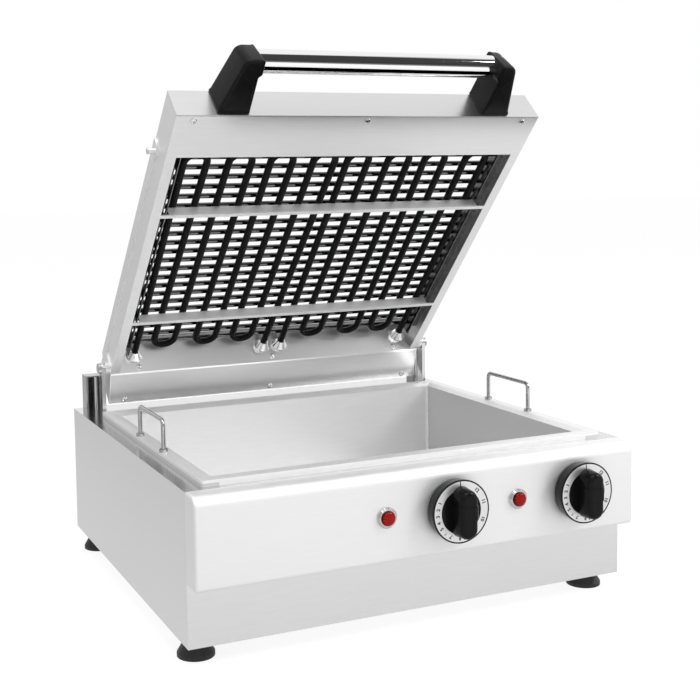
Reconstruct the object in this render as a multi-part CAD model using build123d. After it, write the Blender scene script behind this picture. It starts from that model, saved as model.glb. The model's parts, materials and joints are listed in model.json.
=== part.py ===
from build123d import *
import os
from math import cos, hypot, radians, sin

# Electric table-top water grill, in millimetres. X is to the right, Y to the rear, Z up.
# Inside this script Y starts at the lower front panel's face and Z at the underside of the casing.
# Every piece is moved to the row frame when it is written: origin under the middle of the footprint box,
# at the floor. The heater frame is modelled lying closed, from its fold line, and is then swung open.

# Casing
casing_width = 540.0
casing_depth = 478.0
casing_height = 164.0
sheet = 1.2
deck_flange = 12.0

# How far a cutting form reaches past the face that it cuts
overshoot = 9.0

# Control fascia
fascia_bottom = 67.0
fascia_reach = 26.7
fascia_top_radius = 12.0
fascia_bottom_radius = 4.0
fascia_end_radius = 3.5
panel_overlap = 12.0

# Feet
foot_height = 22.0
foot_radius = 20.3
foot_neck_radius = 12.0
foot_edge = 4.0
foot_inset_x = 21.0
foot_inset_y = 38.0
stud_radius = 4.0
stud_rise = 12.0

# Knobs, regulators and signal lamps
control_height = 116.4
knob_left_x = 27.0
control_pitch = 165.0
lamp_left_x = -55.0
knob_radius = 34.8
knob_back_radius = 32.8
knob_gap = 1.5
skirt_depth = 15.0
skirt_lip = 2.0
dial_inner_radius = 24.5
dial_outer_radius = 33.2
dial_thickness = 0.8
knob_wall = 2.2
grip_length = 56.0
grip_width = 24.0
grip_height = 19.0
grip_taper = 5.0
grip_edge = 5.5
band_length = 14.5
band_offset = 2.2
band_rise = 0.7
shaft_radius = 3.0
shaft_clearance = 0.05
neck_radius = 5.0
neck_clearance = 0.2
regulator_size = 44.0
regulator_depth = 32.0
regulator_edge = 3.0
shaft_seat = 19.0
shaft_end_room = 3.0
shaft_roof = 1.0
bezel_radius = 11.4
bezel_height = 3.6
lens_radius = 8.4
lens_height = 8.0
lamp_hole_radius = 9.4
holder_radius = 9.2
holder_length = 20.0

# Water pan
pan_width = 460.0
pan_front = 33.0
pan_rear = 380.0
pan_depth = 108.0
rim_width = 20.0
rim_front_width = 24.0
rim_rear_width = 24.0
rim_rise = 6.6
rim_slope_run = 9.0
rim_slope_drop = 3.0
rim_corner_radius = 4.0
pan_clearance = 2.0
bail_x = 245.0
bail_front_y = 149.0
bail_rear_y = 241.0
bail_height = 38.5
bail_rod_radius = 2.5
bail_bend_radius = 6.0
collar_radius = 4.9
collar_height = 3.5
fit_clearance = 0.05

# Hinge posts and straps
open_angle = 46.9
pivot_y = 421.7
pivot_z = 225.8
strap_inner_x = 241.0
strap_thickness = 5.0
strap_width = 15.0
post_inner_x = 241.0
post_width = 20.0
post_front_y = 441.0
post_depth = 22.0
post_height = 49.0
tie_rod_radius = 3.5
tie_rod_from_front = 6.0
tie_rod_gap = 1.0
pivot_radius = 4.0
pivot_head_radius = 7.0
pivot_head_height = 4.0
pivot_head_edge = 1.5
pivot_play = 0.05
side_play = 0.3

# Heater frame, lying closed: Y 0 is the rear fold line, the front is at -frame_length, Z 0 is the underside
frame_width = 467.0
frame_length = 450.0
frame_height = 41.5
pivot_from_fold = 3.0
pivot_above_underside = 9.0
box_depth = 39.0
box_drop = 20.0
bottom_flange = 11.0
top_flange = 10.0
cap_lip = 16.0
cap_gap = 0.4
cover_length = 62.0
cover_turn_up = 11.0
box_flange = 10.0
rear_lean = 26.2
bar_width = 5.0
bar_height = 13.0
bar_sheet = 1.5
bar_rear_s = 98.5
bar_front_s = 292.0

# Slotted rails that carry the grate
rail_inner_x = 211.0
rail_bottom = 9.0
rail_top = 24.4
slot_length = 30.0
slot_height = 6.0
slot_pitch = 44.0
rail_rear_s = 26.0
rail_under_cover = 8.0

# Heating elements
element_radius = 4.4
element_height = 17.5
element_bend = 28.6
element_bend_radius = 13.2
element_rear_s = 34.4
element_front_s = 377.4
element_tail = 8.0
element_straight_s = 30.0
bushing_base_radius = 11.0
bushing_tip_radius = 5.6
bushing_neck_radius = 6.5
bushing_base_s = 13.0
bushing_tip_s = 24.0
bushing_edge = 1.5
terminal_radius = 2.0
terminal_length = 14.0

# The elements are bent by hand: X of the ends in the rear plate and of the middle of each half turn
element_ends = {"left": (-13.7, -200.0), "right": (12.5, 201.5)}
front_bends = {"left": (-25.5, -81.0, -133.5, -189.0), "right": (19.5, 75.5, 126.5, 186.0)}
rear_bends = {"left": (-52.0, -105.0, -163.5), "right": (53.5, 111.0, 161.5)}

# Cooking grate
grate_bar_radius = 3.25
grate_side_radius = 3.9
grate_side_x = 217.0
grate_first_s = 31.3
grate_pitch = 15.83
grate_bars = 26
grate_overhang = 3.5

# Hinge arms on the outer walls
arm_thickness = 2.0
arm_width = 13.5
arm_front_s = 369.0
arm_tab_radius = 13.0
arm_tab_drop = 3.5
arm_lobe_radius = 9.0
arm_screw_s = 372.0
arm_screw_drop = 12.0
arm_boss_radius = 3.4
arm_boss_length = 8.5
bush_radius = 8.0
stop_pin_radius = 2.0
stop_pin_drop = 5.0

# Handle
handle_x = 150.0
handle_offset = 2.2
bracket_base = 38.6
bracket_top = 21.4
bracket_rise = 73.7
bracket_tilt = 8.0
bracket_low = 3.0
bracket_thickness = 40.0
bracket_edge = 3.5
bracket_outer_corner = 9.0
bracket_inner_corner = 4.0
bracket_waist = 2.5
bracket_waist_rise = 50.0
bracket_collar_rise = 59.0
tube_radius = 13.5
tube_wall = 1.5
tube_rise = 53.6
tube_height = 27.8
socket_depth = 13.0

# Screws
screw_head_radius = 4.0
screw_head_height = 2.2
screw_head_rim = 1.0
screw_shank_radius = 1.8
screw_shank = 4.0
screw_end_room = 1.0
screw_edge = 8.5
slope_screw_edge = 5.1
screw_side_inset = 21.0
bracket_screw_heights = (12.5, 29.0)
rear_screw_up = 6.4
rear_screw_x = 194.0

# Mains entry
gland_x = 190.0
gland_z = 38.0
gland_radius = 11.0
gland_reach = 16.0
gland_bore = 4.0
gland_thread_radius = 7.5
gland_thread_length = 8.0
gland_hole_radius = 7.7
gland_hexagon = 6.4
gland_dome_radius = 9.0
gland_dome_shoulder = 11.2
gland_mouth_radius = 6.0
block_size = (52.0, 22.0, 18.0)
block_from_rear = 30.0
block_ways = 3
block_pitch = 16.25
block_hole_radius = 3.0

# Places worked out from the sizes above
half_width = casing_width / 2
deck_z = casing_height
inner_half = half_width - sheet
fascia_front = -fascia_reach
rim_top = deck_z + rim_rise
pan_half = pan_width / 2
pan_floor = rim_top - pan_depth
rim_half = pan_half + rim_width
rim_front = pan_front - rim_front_width
rim_rear = pan_rear + rim_rear_width
frame_half = frame_width / 2
wall_inner = frame_half - sheet
arm_shank = arm_boss_length + arm_thickness + 2 * sheet
rear_plate_run = hypot(rear_lean, frame_height - sheet)
lean_y = (frame_height - sheet) / rear_plate_run
lean_z = rear_lean / rear_plate_run
pivot_lid_y = -pivot_from_fold
pivot_lid_z = pivot_above_underside
lid_place = (
    Pos(0, pivot_y, pivot_z)
    * Rot(-open_angle, 0, 0)
    * Pos(0, -pivot_lid_y, -pivot_lid_z)
)
knob_front = fascia_front - knob_gap - skirt_depth - grip_height - band_rise
rear_most = casing_depth + gland_reach
row_place = Pos(0, -(knob_front + rear_most) / 2, foot_height)
sides = {"left": -1, "right": 1}
control_x = {"left": knob_left_x, "right": knob_left_x + control_pitch}
lamp_x = {"left": lamp_left_x, "right": lamp_left_x + control_pitch}
foot_x = half_width - foot_inset_x
feet = {
    "front_left": (-foot_x, foot_inset_y),
    "front_right": (foot_x, foot_inset_y),
    "rear_left": (-foot_x, casing_depth - foot_inset_y),
    "rear_right": (foot_x, casing_depth - foot_inset_y),
}


def plate(x_range, y_range, z_range):
    """A flat plate or bar between two limits on each axis."""
    lows = [min(r) for r in (x_range, y_range, z_range)]
    highs = [max(r) for r in (x_range, y_range, z_range)]
    middle = [(a + b) / 2 for a, b in zip(lows, highs)]
    return Pos(*middle) * Box(*[b - a for a, b in zip(lows, highs)])


def both_ways(half):
    """A range that is symmetric about the middle plane."""
    return (-half, half)


def rod(start, end, radius):
    """A round bar from one point to another."""
    line = Vector(*end) - Vector(*start)
    place = Plane(origin=start, z_dir=line)
    return place * Cylinder(radius, line.length, align=(Align.CENTER, Align.CENTER, Align.MIN))


def tube(start, end, radius, bore):
    """A round bar with a bore right through."""
    return rod(start, end, radius) - rod(start, end, bore)


def along_x(outline, x_range):
    """A solid with a (y, z) outline between two values of x."""
    face = Plane.YZ * make_face(Polyline(*outline, close=True))
    return Pos(min(x_range), 0, 0) * extrude(face, max(x_range) - min(x_range))


def facing_front(x, z):
    """A plane on the fascia's front face, with its own Z towards the user."""
    return Plane(origin=(x, fascia_front, z), x_dir=(1, 0, 0), z_dir=(0, -1, 0))


def domed(radius, rim, height):
    """A disc on Z 0 with an upright rim and a spherical top."""
    rise = height - rim
    sphere_radius = (radius ** 2 + rise ** 2) / (2 * rise)
    disc = rod((0, 0, 0), (0, 0, height), radius)
    return disc & (Pos(0, 0, height - sphere_radius) * Sphere(sphere_radius))


def turned(outline):
    """A solid of revolution about Z from an (r, z) outline."""
    face = Plane.XZ * make_face(Polyline(*outline, close=True))
    return revolve(face, Axis.Z)


def group(solids):
    """Separate solids that share one node."""
    return Compound(children=[s for part in solids for s in part.solids()])


# Casing

def side_panel(side):
    """A flat wall with a folded flange along the top, under the deck."""
    under_deck = deck_z - sheet
    outer = side * half_width
    wall = plate((outer, outer - side * sheet), (0, casing_depth), (0, under_deck))
    flange = plate(
        (outer, outer - side * (sheet + deck_flange)),
        (sheet, casing_depth - sheet),
        (under_deck - sheet, under_deck),
    )
    return wall + flange


def front_panel():
    """The lower front, which runs up behind the fascia's bottom flange."""
    return plate(both_ways(inner_half), (0, sheet), (0, fascia_bottom + panel_overlap))


def rear_panel():
    """The back wall with the hole for the cable gland."""
    wall = plate(
        both_ways(inner_half), (casing_depth - sheet, casing_depth), (0, deck_z - 2 * sheet)
    )
    hole = rod((gland_x, casing_depth - overshoot, gland_z), (gland_x, casing_depth + overshoot, gland_z),
               gland_hole_radius)
    return wall - hole


def bottom_plate():
    """The floor of the casing with four holes for the feet's studs."""
    floor = plate(both_ways(inner_half), (sheet, casing_depth - sheet), (0, sheet))
    for x, y in feet.values():
        floor -= rod((x, y, -overshoot), (x, y, overshoot), stud_radius + fit_clearance)
    return floor


def deck_plate():
    """The top plate, cut out for the pan."""
    wall = pan_clearance + sheet
    opening = plate(
        both_ways(pan_half + wall), (pan_front - wall, pan_rear + wall),
        (deck_z - overshoot, deck_z + overshoot)
    )
    return plate(both_ways(half_width), (0, casing_depth), (deck_z - sheet, deck_z)) - opening


def fascia_block(inset):
    """The fascia's outer form, drawn in by an inset on every side but the open back."""
    front, back = fascia_front + inset, overshoot if inset else 0.0
    low, high = fascia_bottom + inset, deck_z - inset
    half = half_width - inset
    corners = Polyline((back, low), (front, low), (front, high), (back, high), close=True)
    face = Plane.YZ * make_face(corners)
    block = Pos(-half, 0, 0) * extrude(face, 2 * half)
    front_edges = block.edges().filter_by(Axis.X).group_by(Axis.Y)[0].sort_by(Axis.Z)
    block = fillet(front_edges[1], fascia_top_radius - inset)
    front_edges = block.edges().filter_by(Axis.X).group_by(Axis.Y)[0].sort_by(Axis.Z)
    block = fillet(front_edges[0], fascia_bottom_radius - inset)
    ends = [e for e in block.edges() if abs(abs(e.center().X) - half) < 0.01
            and e.center().Y < back - 0.01]
    return fillet(ends, fascia_end_radius - inset)


def fascia_hole(x, radius):
    """The form that cuts a round hole for a knob's shaft or a lamp."""
    return rod((x, fascia_front - overshoot, control_height), (x, fascia_front + overshoot, control_height),
               radius)


def control_fascia():
    """A folded cover with rounded edges, open at the back, holed for shafts and lamps."""
    shell = fascia_block(0) - fascia_block(sheet)
    for x in control_x.values():
        shell -= fascia_hole(x, neck_radius + neck_clearance)
    for x in lamp_x.values():
        shell -= fascia_hole(x, lamp_hole_radius)
    return shell


def foot(x, y):
    """A flared foot with an upright edge at the floor."""
    outline = [(0, -foot_height), (foot_radius, -foot_height), (foot_radius, foot_edge - foot_height),
               (foot_neck_radius, -foot_edge), (foot_neck_radius, 0), (0, 0)]
    body = turned(outline)
    bore = rod((0, 0, -foot_height / 2), (0, 0, overshoot), stud_radius)
    return Pos(x, y, 0) * (body - bore)


def foot_studs():
    """Four threaded studs that join the feet to the bottom plate."""
    return group([rod((x, y, -foot_height / 2), (x, y, stud_rise), stud_radius)
                  for x, y in feet.values()])


# Controls

def regulator_body(x):
    """The switch body behind the fascia with its neck through the fascia's hole."""
    front = fascia_front + sheet
    half = regulator_size / 2
    body = plate((x - half, x + half), (front, front + regulator_depth),
                 (control_height - half, control_height + half))
    body = fillet(body.edges().filter_by(Axis.Y), regulator_edge)
    neck = rod((x, front, control_height), (x, fascia_front - knob_gap / 2, control_height), neck_radius)
    bore = rod((x, front + shaft_seat + shaft_end_room, control_height),
               (x, fascia_front - overshoot, control_height), shaft_radius + shaft_clearance)
    return body + neck - bore


def regulator_shaft(x):
    """The shaft that the knob turns."""
    inner = fascia_front + sheet + shaft_seat
    return rod((x, inner, control_height), (x, fascia_front - skirt_depth, control_height), shaft_radius)


def grip_form(grow):
    """The grip's rounded wing, its sides drawn in towards the user, made larger all round by grow."""
    outline = SlotOverall(grip_length + 2 * grow, grip_width + 2 * grow, rotation=90)
    wing = extrude(outline, grip_height + grow, taper=grip_taper)
    return fillet(wing.faces().sort_by(Axis.Z)[-1].edges(), grip_edge)


def knob(x):
    """A hollow flared skirt, a hub and a wing grip with a raised band across it."""
    back, front = knob_gap, knob_gap + skirt_depth
    skirt = turned([(0, back), (knob_back_radius, back), (knob_radius, front - skirt_lip),
                    (knob_radius, front), (0, front)])
    hub = shaft_radius + knob_wall
    inside = knob_back_radius - knob_wall
    roof = front - knob_wall * 2
    hollow = turned([(hub, back - overshoot), (inside, back - overshoot), (inside, roof), (hub, roof)])
    ring_seat = tube((0, 0, front - dial_thickness), (0, 0, front + overshoot), dial_outer_radius,
                     dial_inner_radius)
    ring_room = tube((0, 0, front - dial_thickness), (0, 0, front), dial_outer_radius, dial_inner_radius)
    reach = grip_length
    slab = plate(both_ways(reach), (band_offset - band_length / 2, band_offset + band_length / 2),
                 (0, reach))
    grip = Pos(0, 0, front) * (grip_form(0) + (grip_form(band_rise) & slab))
    bore = rod((0, 0, back - overshoot), (0, 0, front - shaft_roof), shaft_radius)
    body = skirt - hollow - ring_seat + grip - ring_room - bore
    return facing_front(x, control_height) * body


def dial_ring(x):
    """The thin silver ring that carries the numbers."""
    front = knob_gap + skirt_depth
    ring = tube((0, 0, front - dial_thickness), (0, 0, front), dial_outer_radius, dial_inner_radius)
    return facing_front(x, control_height) * ring


def lamp_bezel(x):
    """A chrome ring with a rounded front edge."""
    ring = turned([(lens_radius, 0), (bezel_radius, 0), (bezel_radius, bezel_height * 0.5),
                   (bezel_radius - bezel_height * 0.5, bezel_height), (lens_radius, bezel_height)])
    return facing_front(x, control_height) * ring


def lamp_lens(x):
    """A domed red lens that fills the bezel."""
    return facing_front(x, control_height) * domed(lens_radius, bezel_height, lens_height)


def lamp_holder(x):
    """The socket behind the fascia that snaps into the lamp hole."""
    return rod((x, fascia_front, control_height), (x, fascia_front + holder_length, control_height),
               holder_radius)


def terminal_block():
    """The mains terminal block on the casing floor, in front of the gland."""
    length, width, height = block_size
    rear = casing_depth - sheet - block_from_rear
    block = plate((gland_x - length / 2, gland_x + length / 2), (rear - width, rear),
                  (sheet, sheet + height))
    for i in range(block_ways):
        x = gland_x + (i - (block_ways - 1) / 2) * block_pitch
        y = rear - width / 2
        block -= rod((x, y, sheet + height / 2), (x, y, sheet + height + overshoot), block_hole_radius)
    return block


def cable_gland():
    """A screwed gland in the rear panel: thread, hexagon and dome, with a bore for the lead."""
    thread = rod((0, 0, -gland_thread_length), (0, 0, 0), gland_thread_radius)
    hexagon = extrude(RegularPolygon(gland_radius, 6, major_radius=True), gland_hexagon)
    dome = turned([(0, gland_hexagon), (gland_dome_radius, gland_hexagon),
                   (gland_dome_radius, gland_dome_shoulder), (gland_mouth_radius, gland_reach),
                   (0, gland_reach)])
    bore = rod((0, 0, -overshoot), (0, 0, gland_reach + overshoot), gland_bore)
    place = Plane(origin=(gland_x, casing_depth, gland_z), x_dir=(1, 0, 0), z_dir=(0, 1, 0))
    return place * (thread + hexagon + dome - bore)


# Hinge hardware that stands on the deck

def hinge_post(side):
    """A U channel, open to the front, closed by a cap."""
    inner, outer = side * post_inner_x, side * (post_inner_x + post_width)
    rear = post_front_y + post_depth
    top = deck_z + post_height
    block = plate((inner, outer), (post_front_y, rear), (deck_z, top))
    room = plate((inner + side * sheet, outer - side * sheet), (post_front_y - overshoot, rear - sheet),
                 (deck_z - overshoot, top - sheet))
    return block - room


def tie_rod(side):
    """The rod that clamps the post to the deck."""
    x = side * (post_inner_x + sheet + tie_rod_radius + tie_rod_gap)
    y = post_front_y + tie_rod_from_front
    return rod((x, y, deck_z), (x, y, deck_z + post_height - sheet), tie_rod_radius)


def hinge_strap(side):
    """An upright flat bar with a rounded top and a hole for the pivot bolt."""
    inner, outer = side * strap_inner_x, side * (strap_inner_x + strap_thickness)
    half = strap_width / 2
    bar = plate((inner, outer), (pivot_y - half, pivot_y + half), (deck_z, pivot_z))
    top = rod((inner, pivot_y, pivot_z), (outer, pivot_y, pivot_z), half)
    hole = rod((inner - side * overshoot, pivot_y, pivot_z), (outer + side * overshoot, pivot_y, pivot_z),
               pivot_radius)
    return bar + top - hole


def pivot_bolt(side):
    """A shouldered bolt fixed in the strap, on whose shank the heater frame turns."""
    outer = side * (strap_inner_x + strap_thickness)
    head_end = outer + side * pivot_head_height
    shank = rod((side * wall_inner, pivot_y, pivot_z), (head_end, pivot_y, pivot_z), pivot_radius)
    head = rod((outer, pivot_y, pivot_z), (head_end, pivot_y, pivot_z), pivot_head_radius)
    head = fillet(head.edges().group_by(Axis.X)[0 if side < 0 else -1], pivot_head_edge)
    return shank + head


# Water pan

def pan_box(inset_out, low, high):
    """A block on the pan's inner outline, grown by inset_out."""
    return plate(both_ways(pan_half + inset_out), (pan_front - inset_out, pan_rear + inset_out),
                 (low, high))


def rim_funnel(drop):
    """The sloped inner part of the rim as a solid block, lowered by drop."""
    low, high = rim_top - rim_slope_drop - drop, rim_top - drop
    width, length = pan_width, pan_rear - pan_front
    middle = (pan_front + pan_rear) / 2
    lower = Pos(0, middle, low) * Rectangle(width, length)
    upper = Pos(0, middle, high) * Rectangle(width + 2 * rim_slope_run, length + 2 * rim_slope_run)
    return loft([lower, upper])


def rim_block(inset, low, high):
    """The rim's outer outline, drawn in by inset, between two heights."""
    width = 2 * (rim_half - inset)
    length = rim_rear - rim_front - 2 * inset
    face = Pos(0, (rim_front + rim_rear) / 2, low) * RectangleRounded(
        width, length, rim_corner_radius - inset)
    return extrude(face, high - low)


def water_pan():
    """A deep folded pan: floor, four walls, sloped inner rim, flat rim and skirt."""
    slope_bottom = rim_top - rim_slope_drop
    shell = pan_box(sheet, pan_floor - sheet, slope_bottom)
    shell += rim_funnel(sheet)
    shell += rim_block(0, deck_z, rim_top) - rim_block(sheet, deck_z - overshoot, rim_top - sheet)
    shell -= pan_box(0, pan_floor, slope_bottom) + rim_funnel(0)
    return shell


def pan_handle(side):
    """A wire bail with two bent corners, standing on the rim."""
    x = side * bail_x
    top = rim_top + bail_height - bail_rod_radius
    path = FilletPolyline((x, bail_front_y, rim_top), (x, bail_front_y, top), (x, bail_rear_y, top),
                          (x, bail_rear_y, rim_top), radius=bail_bend_radius)
    return sweep(Plane(origin=path @ 0, z_dir=path % 0) * Circle(bail_rod_radius), path)


def pan_handle_collars():
    """A ring round each foot of the two handles."""
    return group([
        tube((side * bail_x, y, rim_top), (side * bail_x, y, rim_top + collar_height),
             collar_radius, bail_rod_radius + fit_clearance)
        for side in (-1, 1) for y in (bail_front_y, bail_rear_y)
    ])


# Heater frame, modelled lying closed

def pivot_bore(side):
    """The hole for the pivot bolt through wall, arm and bush."""
    return rod((side * (wall_inner - overshoot), pivot_lid_y, pivot_lid_z),
               (side * (strap_inner_x + overshoot), pivot_lid_y, pivot_lid_z), pivot_radius + pivot_play)


def side_member(side):
    """The side wall, folded in along the bottom and top, deepened at the rear for the terminal box."""
    front = sheet - frame_length
    outline = [(front, 0), (0, 0), (box_depth, -box_drop), (box_depth, frame_height),
               (front, frame_height)]
    outer, inner = side * frame_half, side * wall_inner
    wall = drilled(along_x(outline, (outer, inner)), arm_screws(), arm_shank)
    bottom = plate((inner, inner - side * bottom_flange), (cover_length - frame_length, -sheet),
                   (0, sheet))
    top = plate((inner, inner - side * top_flange), (front, -rear_lean),
                (frame_height - sheet, frame_height))
    return wall + bottom + top - pivot_bore(side)


def front_cap():
    """The front face with a lip over the cover plate and a flange above."""
    face_y = (-frame_length, sheet - frame_length)
    face = plate(both_ways(frame_half), face_y, (0, frame_height))
    lip = plate(both_ways(wall_inner), (-frame_length, cap_lip - frame_length), (sheet, 2 * sheet))
    flange = plate(both_ways(wall_inner - top_flange), (-frame_length, top_flange - frame_length),
                   (frame_height - sheet, frame_height))
    return drilled(face + lip + flange, front_screws() + bracket_screws())


def front_cover_plate():
    """The underside plate that hides the elements' front bends."""
    cover = plate(both_ways(wall_inner),
                  (sheet + cap_gap - frame_length, cover_length - frame_length), (0, sheet))
    return drilled(cover, front_screws())


def behind(up, depth):
    """The (y, z) of a point so far up the leaning rear plate from the fold, and behind its face."""
    return depth * lean_y - up * lean_z, depth * lean_z + up * lean_y


def slope_z(y, layers):
    """Height of the terminal box's sloping floor at y, so many sheets up from the outside."""
    return layers * sheet * hypot(box_depth, box_drop) / box_depth - box_drop * y / box_depth


def corner(layers, depth):
    """Where a face of the sloping floor meets the plane so far behind the rear plate's face."""
    fall = box_drop / box_depth
    y = (depth - lean_z * slope_z(0, layers)) / (lean_y - lean_z * fall)
    return y, slope_z(y, layers)


def rear_plate():
    """The plate that the element bushings sit in, leaning forward from the fold to the frame's top."""
    top = frame_height - sheet
    outline = [(0, 0), behind(rear_plate_run, 0), ((sheet - lean_z * top) / lean_y, top), corner(0, sheet)]
    body = along_x(outline, both_ways(wall_inner))
    for x in element_end_x():
        body -= rod((x, -rear_lean - overshoot, element_height), (x, overshoot, element_height),
                    bushing_neck_radius + fit_clearance)
    return drilled(body, rear_screws())


def terminal_cover():
    """The sloping floor of the terminal box, turned up behind the rear plate."""
    outline = [corner(0, sheet), (box_depth, slope_z(box_depth, 0)), (box_depth, slope_z(box_depth, 1)),
               corner(1, 2 * sheet), behind(cover_turn_up, 2 * sheet), behind(cover_turn_up, sheet)]
    return drilled(along_x(outline, both_ways(wall_inner)), rear_screws() + slope_screws())


def terminal_box():
    """The rear wall and top of the terminal box, with a flange that the sloping floor screws to."""
    inner = box_depth - sheet
    edge = inner - box_flange
    outline = [(-rear_lean, frame_height), (-rear_lean, frame_height - sheet), (inner, frame_height - sheet),
               (inner, slope_z(inner, 2)), (edge, slope_z(edge, 2)), (edge, slope_z(edge, 1)),
               (box_depth, slope_z(box_depth, 1)), (box_depth, frame_height)]
    return drilled(along_x(outline, both_ways(wall_inner)), slope_screws())


def cross_bar(rear_s):
    """An angle bar under the elements, its foot between the side flanges."""
    front_y = -(rear_s + bar_width)
    foot = plate(both_ways(wall_inner - bottom_flange), (front_y, -rear_s), (0, bar_sheet))
    web = plate(both_ways(rail_inner_x - side_play), (front_y, front_y + bar_sheet), (0, bar_height))
    return foot + web


def slotted_rail(side):
    """An angle that carries the grate's side bar, its upright web pierced by long slots."""
    start, end = cover_length - frame_length - rail_under_cover, -rail_rear_s
    web = plate((side * rail_inner_x, side * (rail_inner_x + sheet)), (start, end), (rail_bottom, rail_top))
    shelf = plate((side * rail_inner_x, side * wall_inner), (start, end), (rail_top - sheet, rail_top))
    rail = web + shelf
    count = int((end - start - slot_length) // slot_pitch)
    middle = (start + end) / 2
    for i in range(count):
        y = middle + (i - (count - 1) / 2) * slot_pitch
        z = (rail_bottom + rail_top - sheet) / 2
        face = Plane(origin=(side * rail_inner_x, y, z), x_dir=(0, 1, 0), z_dir=(side, 0, 0))
        rail -= face * extrude(SlotOverall(slot_length, slot_height), overshoot, both=True)
    return rail


def element_end_x():
    """Where the four cold ends pass the rear plate."""
    return sorted(x for pair in element_ends.values() for x in pair)


def element_path(name):
    """The rod's line: legs between the half turns, each turn as wide as the bending tool makes it."""
    side = sides[name]
    half = side * element_bend / 2
    first, last = element_ends[name]
    turns = []
    for i, x in enumerate(front_bends[name]):
        turns.append((x, -element_front_s))
        if i < len(rear_bends[name]):
            turns.append((rear_bends[name][i], -element_rear_s))
    corners = [(x + step, y) for x, y in turns for step in (-half, half)]
    start = [(first, element_tail), (first, -element_straight_s)]
    end = [(last, -element_straight_s), (last, element_tail)]
    route = start + corners + end
    return FilletPolyline(*[(x, y, element_height) for x, y in route], radius=element_bend_radius)


def heating_element(name):
    """A serpentine rod: eight legs joined by half turns, its two ends through the rear plate."""
    path = element_path(name)
    return sweep(Plane(origin=path @ 0, z_dir=path % 0) * Circle(element_radius), path)


def element_bushings():
    """A flared collar round each cold end, its neck through the leaning rear plate."""
    bore = element_radius + fit_clearance
    length = bushing_tip_s - bushing_base_s
    cone = turned([(bore, 0), (bushing_base_radius, 0), (bushing_base_radius, bushing_edge),
                   (bushing_tip_radius, length), (bore, length)])
    neck = tube((0, 0, -bushing_base_s), (0, 0, 0), bushing_neck_radius, bore)
    past = 2 * frame_height
    rear = along_x([behind(-past, 0), behind(past, 0), behind(past, past), behind(-past, past)],
                   both_ways(frame_half))
    bushings = []
    for x in element_end_x():
        place = Plane(origin=(x, -bushing_base_s, element_height), z_dir=(0, -1, 0))
        bushings.append((place * cone - rear) + place * neck)
    return group(bushings)


def element_terminals():
    """The threaded pins on the elements' ends, inside the terminal box."""
    return group([rod((x, element_tail, element_height),
                      (x, element_tail + terminal_length, element_height), terminal_radius)
                  for x in element_end_x()])


def hinge_arm(side):
    """A flat bar along the outer wall, with a half-moon tab in front and a lobe at the pivot."""
    inner, outer = side * frame_half, side * (frame_half + arm_thickness)
    lobe_rear = pivot_lid_y + arm_lobe_radius
    bar = plate((inner, outer), (-arm_front_s, lobe_rear), (frame_height - arm_width, frame_height))
    tab_z = frame_height - arm_tab_drop
    tab = rod((inner, -arm_front_s, tab_z), (outer, -arm_front_s, tab_z), arm_tab_radius)
    tab -= plate((inner - side, outer + side), both_ways(2 * arm_front_s),
                 (frame_height, frame_height + arm_tab_radius))
    lobe = rod((inner, pivot_lid_y, pivot_lid_z), (outer, pivot_lid_y, pivot_lid_z), arm_lobe_radius)
    web = plate((inner, outer), (pivot_lid_y - arm_lobe_radius, lobe_rear), (pivot_lid_z, frame_height))
    bush = rod((outer, pivot_lid_y, pivot_lid_z),
               (side * (strap_inner_x - side_play), pivot_lid_y, pivot_lid_z), bush_radius)
    screw_y, screw_z = arm_screw_at()
    boss = rod((outer, screw_y, screw_z), (outer + side * arm_boss_length, screw_y, screw_z),
               arm_boss_radius)
    arm = bar + tab + lobe + web + bush + boss - pivot_bore(side)
    for start, end in stop_pin_lines(side):
        arm -= rod(start, end, stop_pin_radius + fit_clearance)
    return drilled(arm, arm_screws(), arm_shank)


def stop_offsets():
    """Rear and front stop pins from the pivot, in the closed frame's own axes (y, z)."""
    reach = strap_width / 2 + stop_pin_radius + side_play
    turn = radians(open_angle)
    open_y, open_z = reach, -stop_pin_drop
    rear = (open_y * cos(turn) - open_z * sin(turn), open_y * sin(turn) + open_z * cos(turn))
    return [rear, (-reach, -stop_pin_drop)]


def stop_pin_lines(side):
    """Both ends of each stop pin on one side."""
    lines = []
    for y, z in stop_offsets():
        at = (pivot_lid_y + y, pivot_lid_z + z)
        lines.append(((side * frame_half, *at), (side * (strap_inner_x + strap_thickness), *at)))
    return lines


def stop_pins():
    """Pins beside each strap: the front one meets it when closed, the rear one when open."""
    return group([rod(start, end, stop_pin_radius)
                  for side in sides.values() for start, end in stop_pin_lines(side)])


def bracket_form(side):
    """The bracket before its edges are rounded: a tapering leg whose end face leans."""
    low, high = bracket_low, bracket_low + bracket_thickness
    base_y = -frame_length
    top_y = base_y - bracket_rise
    outline = [(handle_x, base_y), (handle_x + bracket_base, base_y), (handle_x + bracket_top, top_y),
               (handle_x, top_y), (handle_x, base_y - bracket_collar_rise),
               (handle_x + bracket_waist, base_y - bracket_waist_rise)]
    face = make_face(Polyline(*[(side * a, b) for a, b in outline], close=True))
    block = Pos(0, 0, low) * extrude(face, bracket_thickness)
    profile = [(base_y, low), (top_y, low), (top_y + bracket_tilt, high), (base_y, high)]
    return block & along_x(profile, both_ways(half_width))


def end_corners(block):
    """The upright edges of a bracket's end face, from the middle of the frame outwards."""
    end_y = -frame_length - bracket_rise + bracket_tilt
    middle = bracket_low + bracket_thickness / 2
    corners = [e for e in block.edges() if e.center().Y < end_y and abs(e.center().Z - middle) < 1]
    return sorted(corners, key=lambda e: abs(e.center().X))


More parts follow.
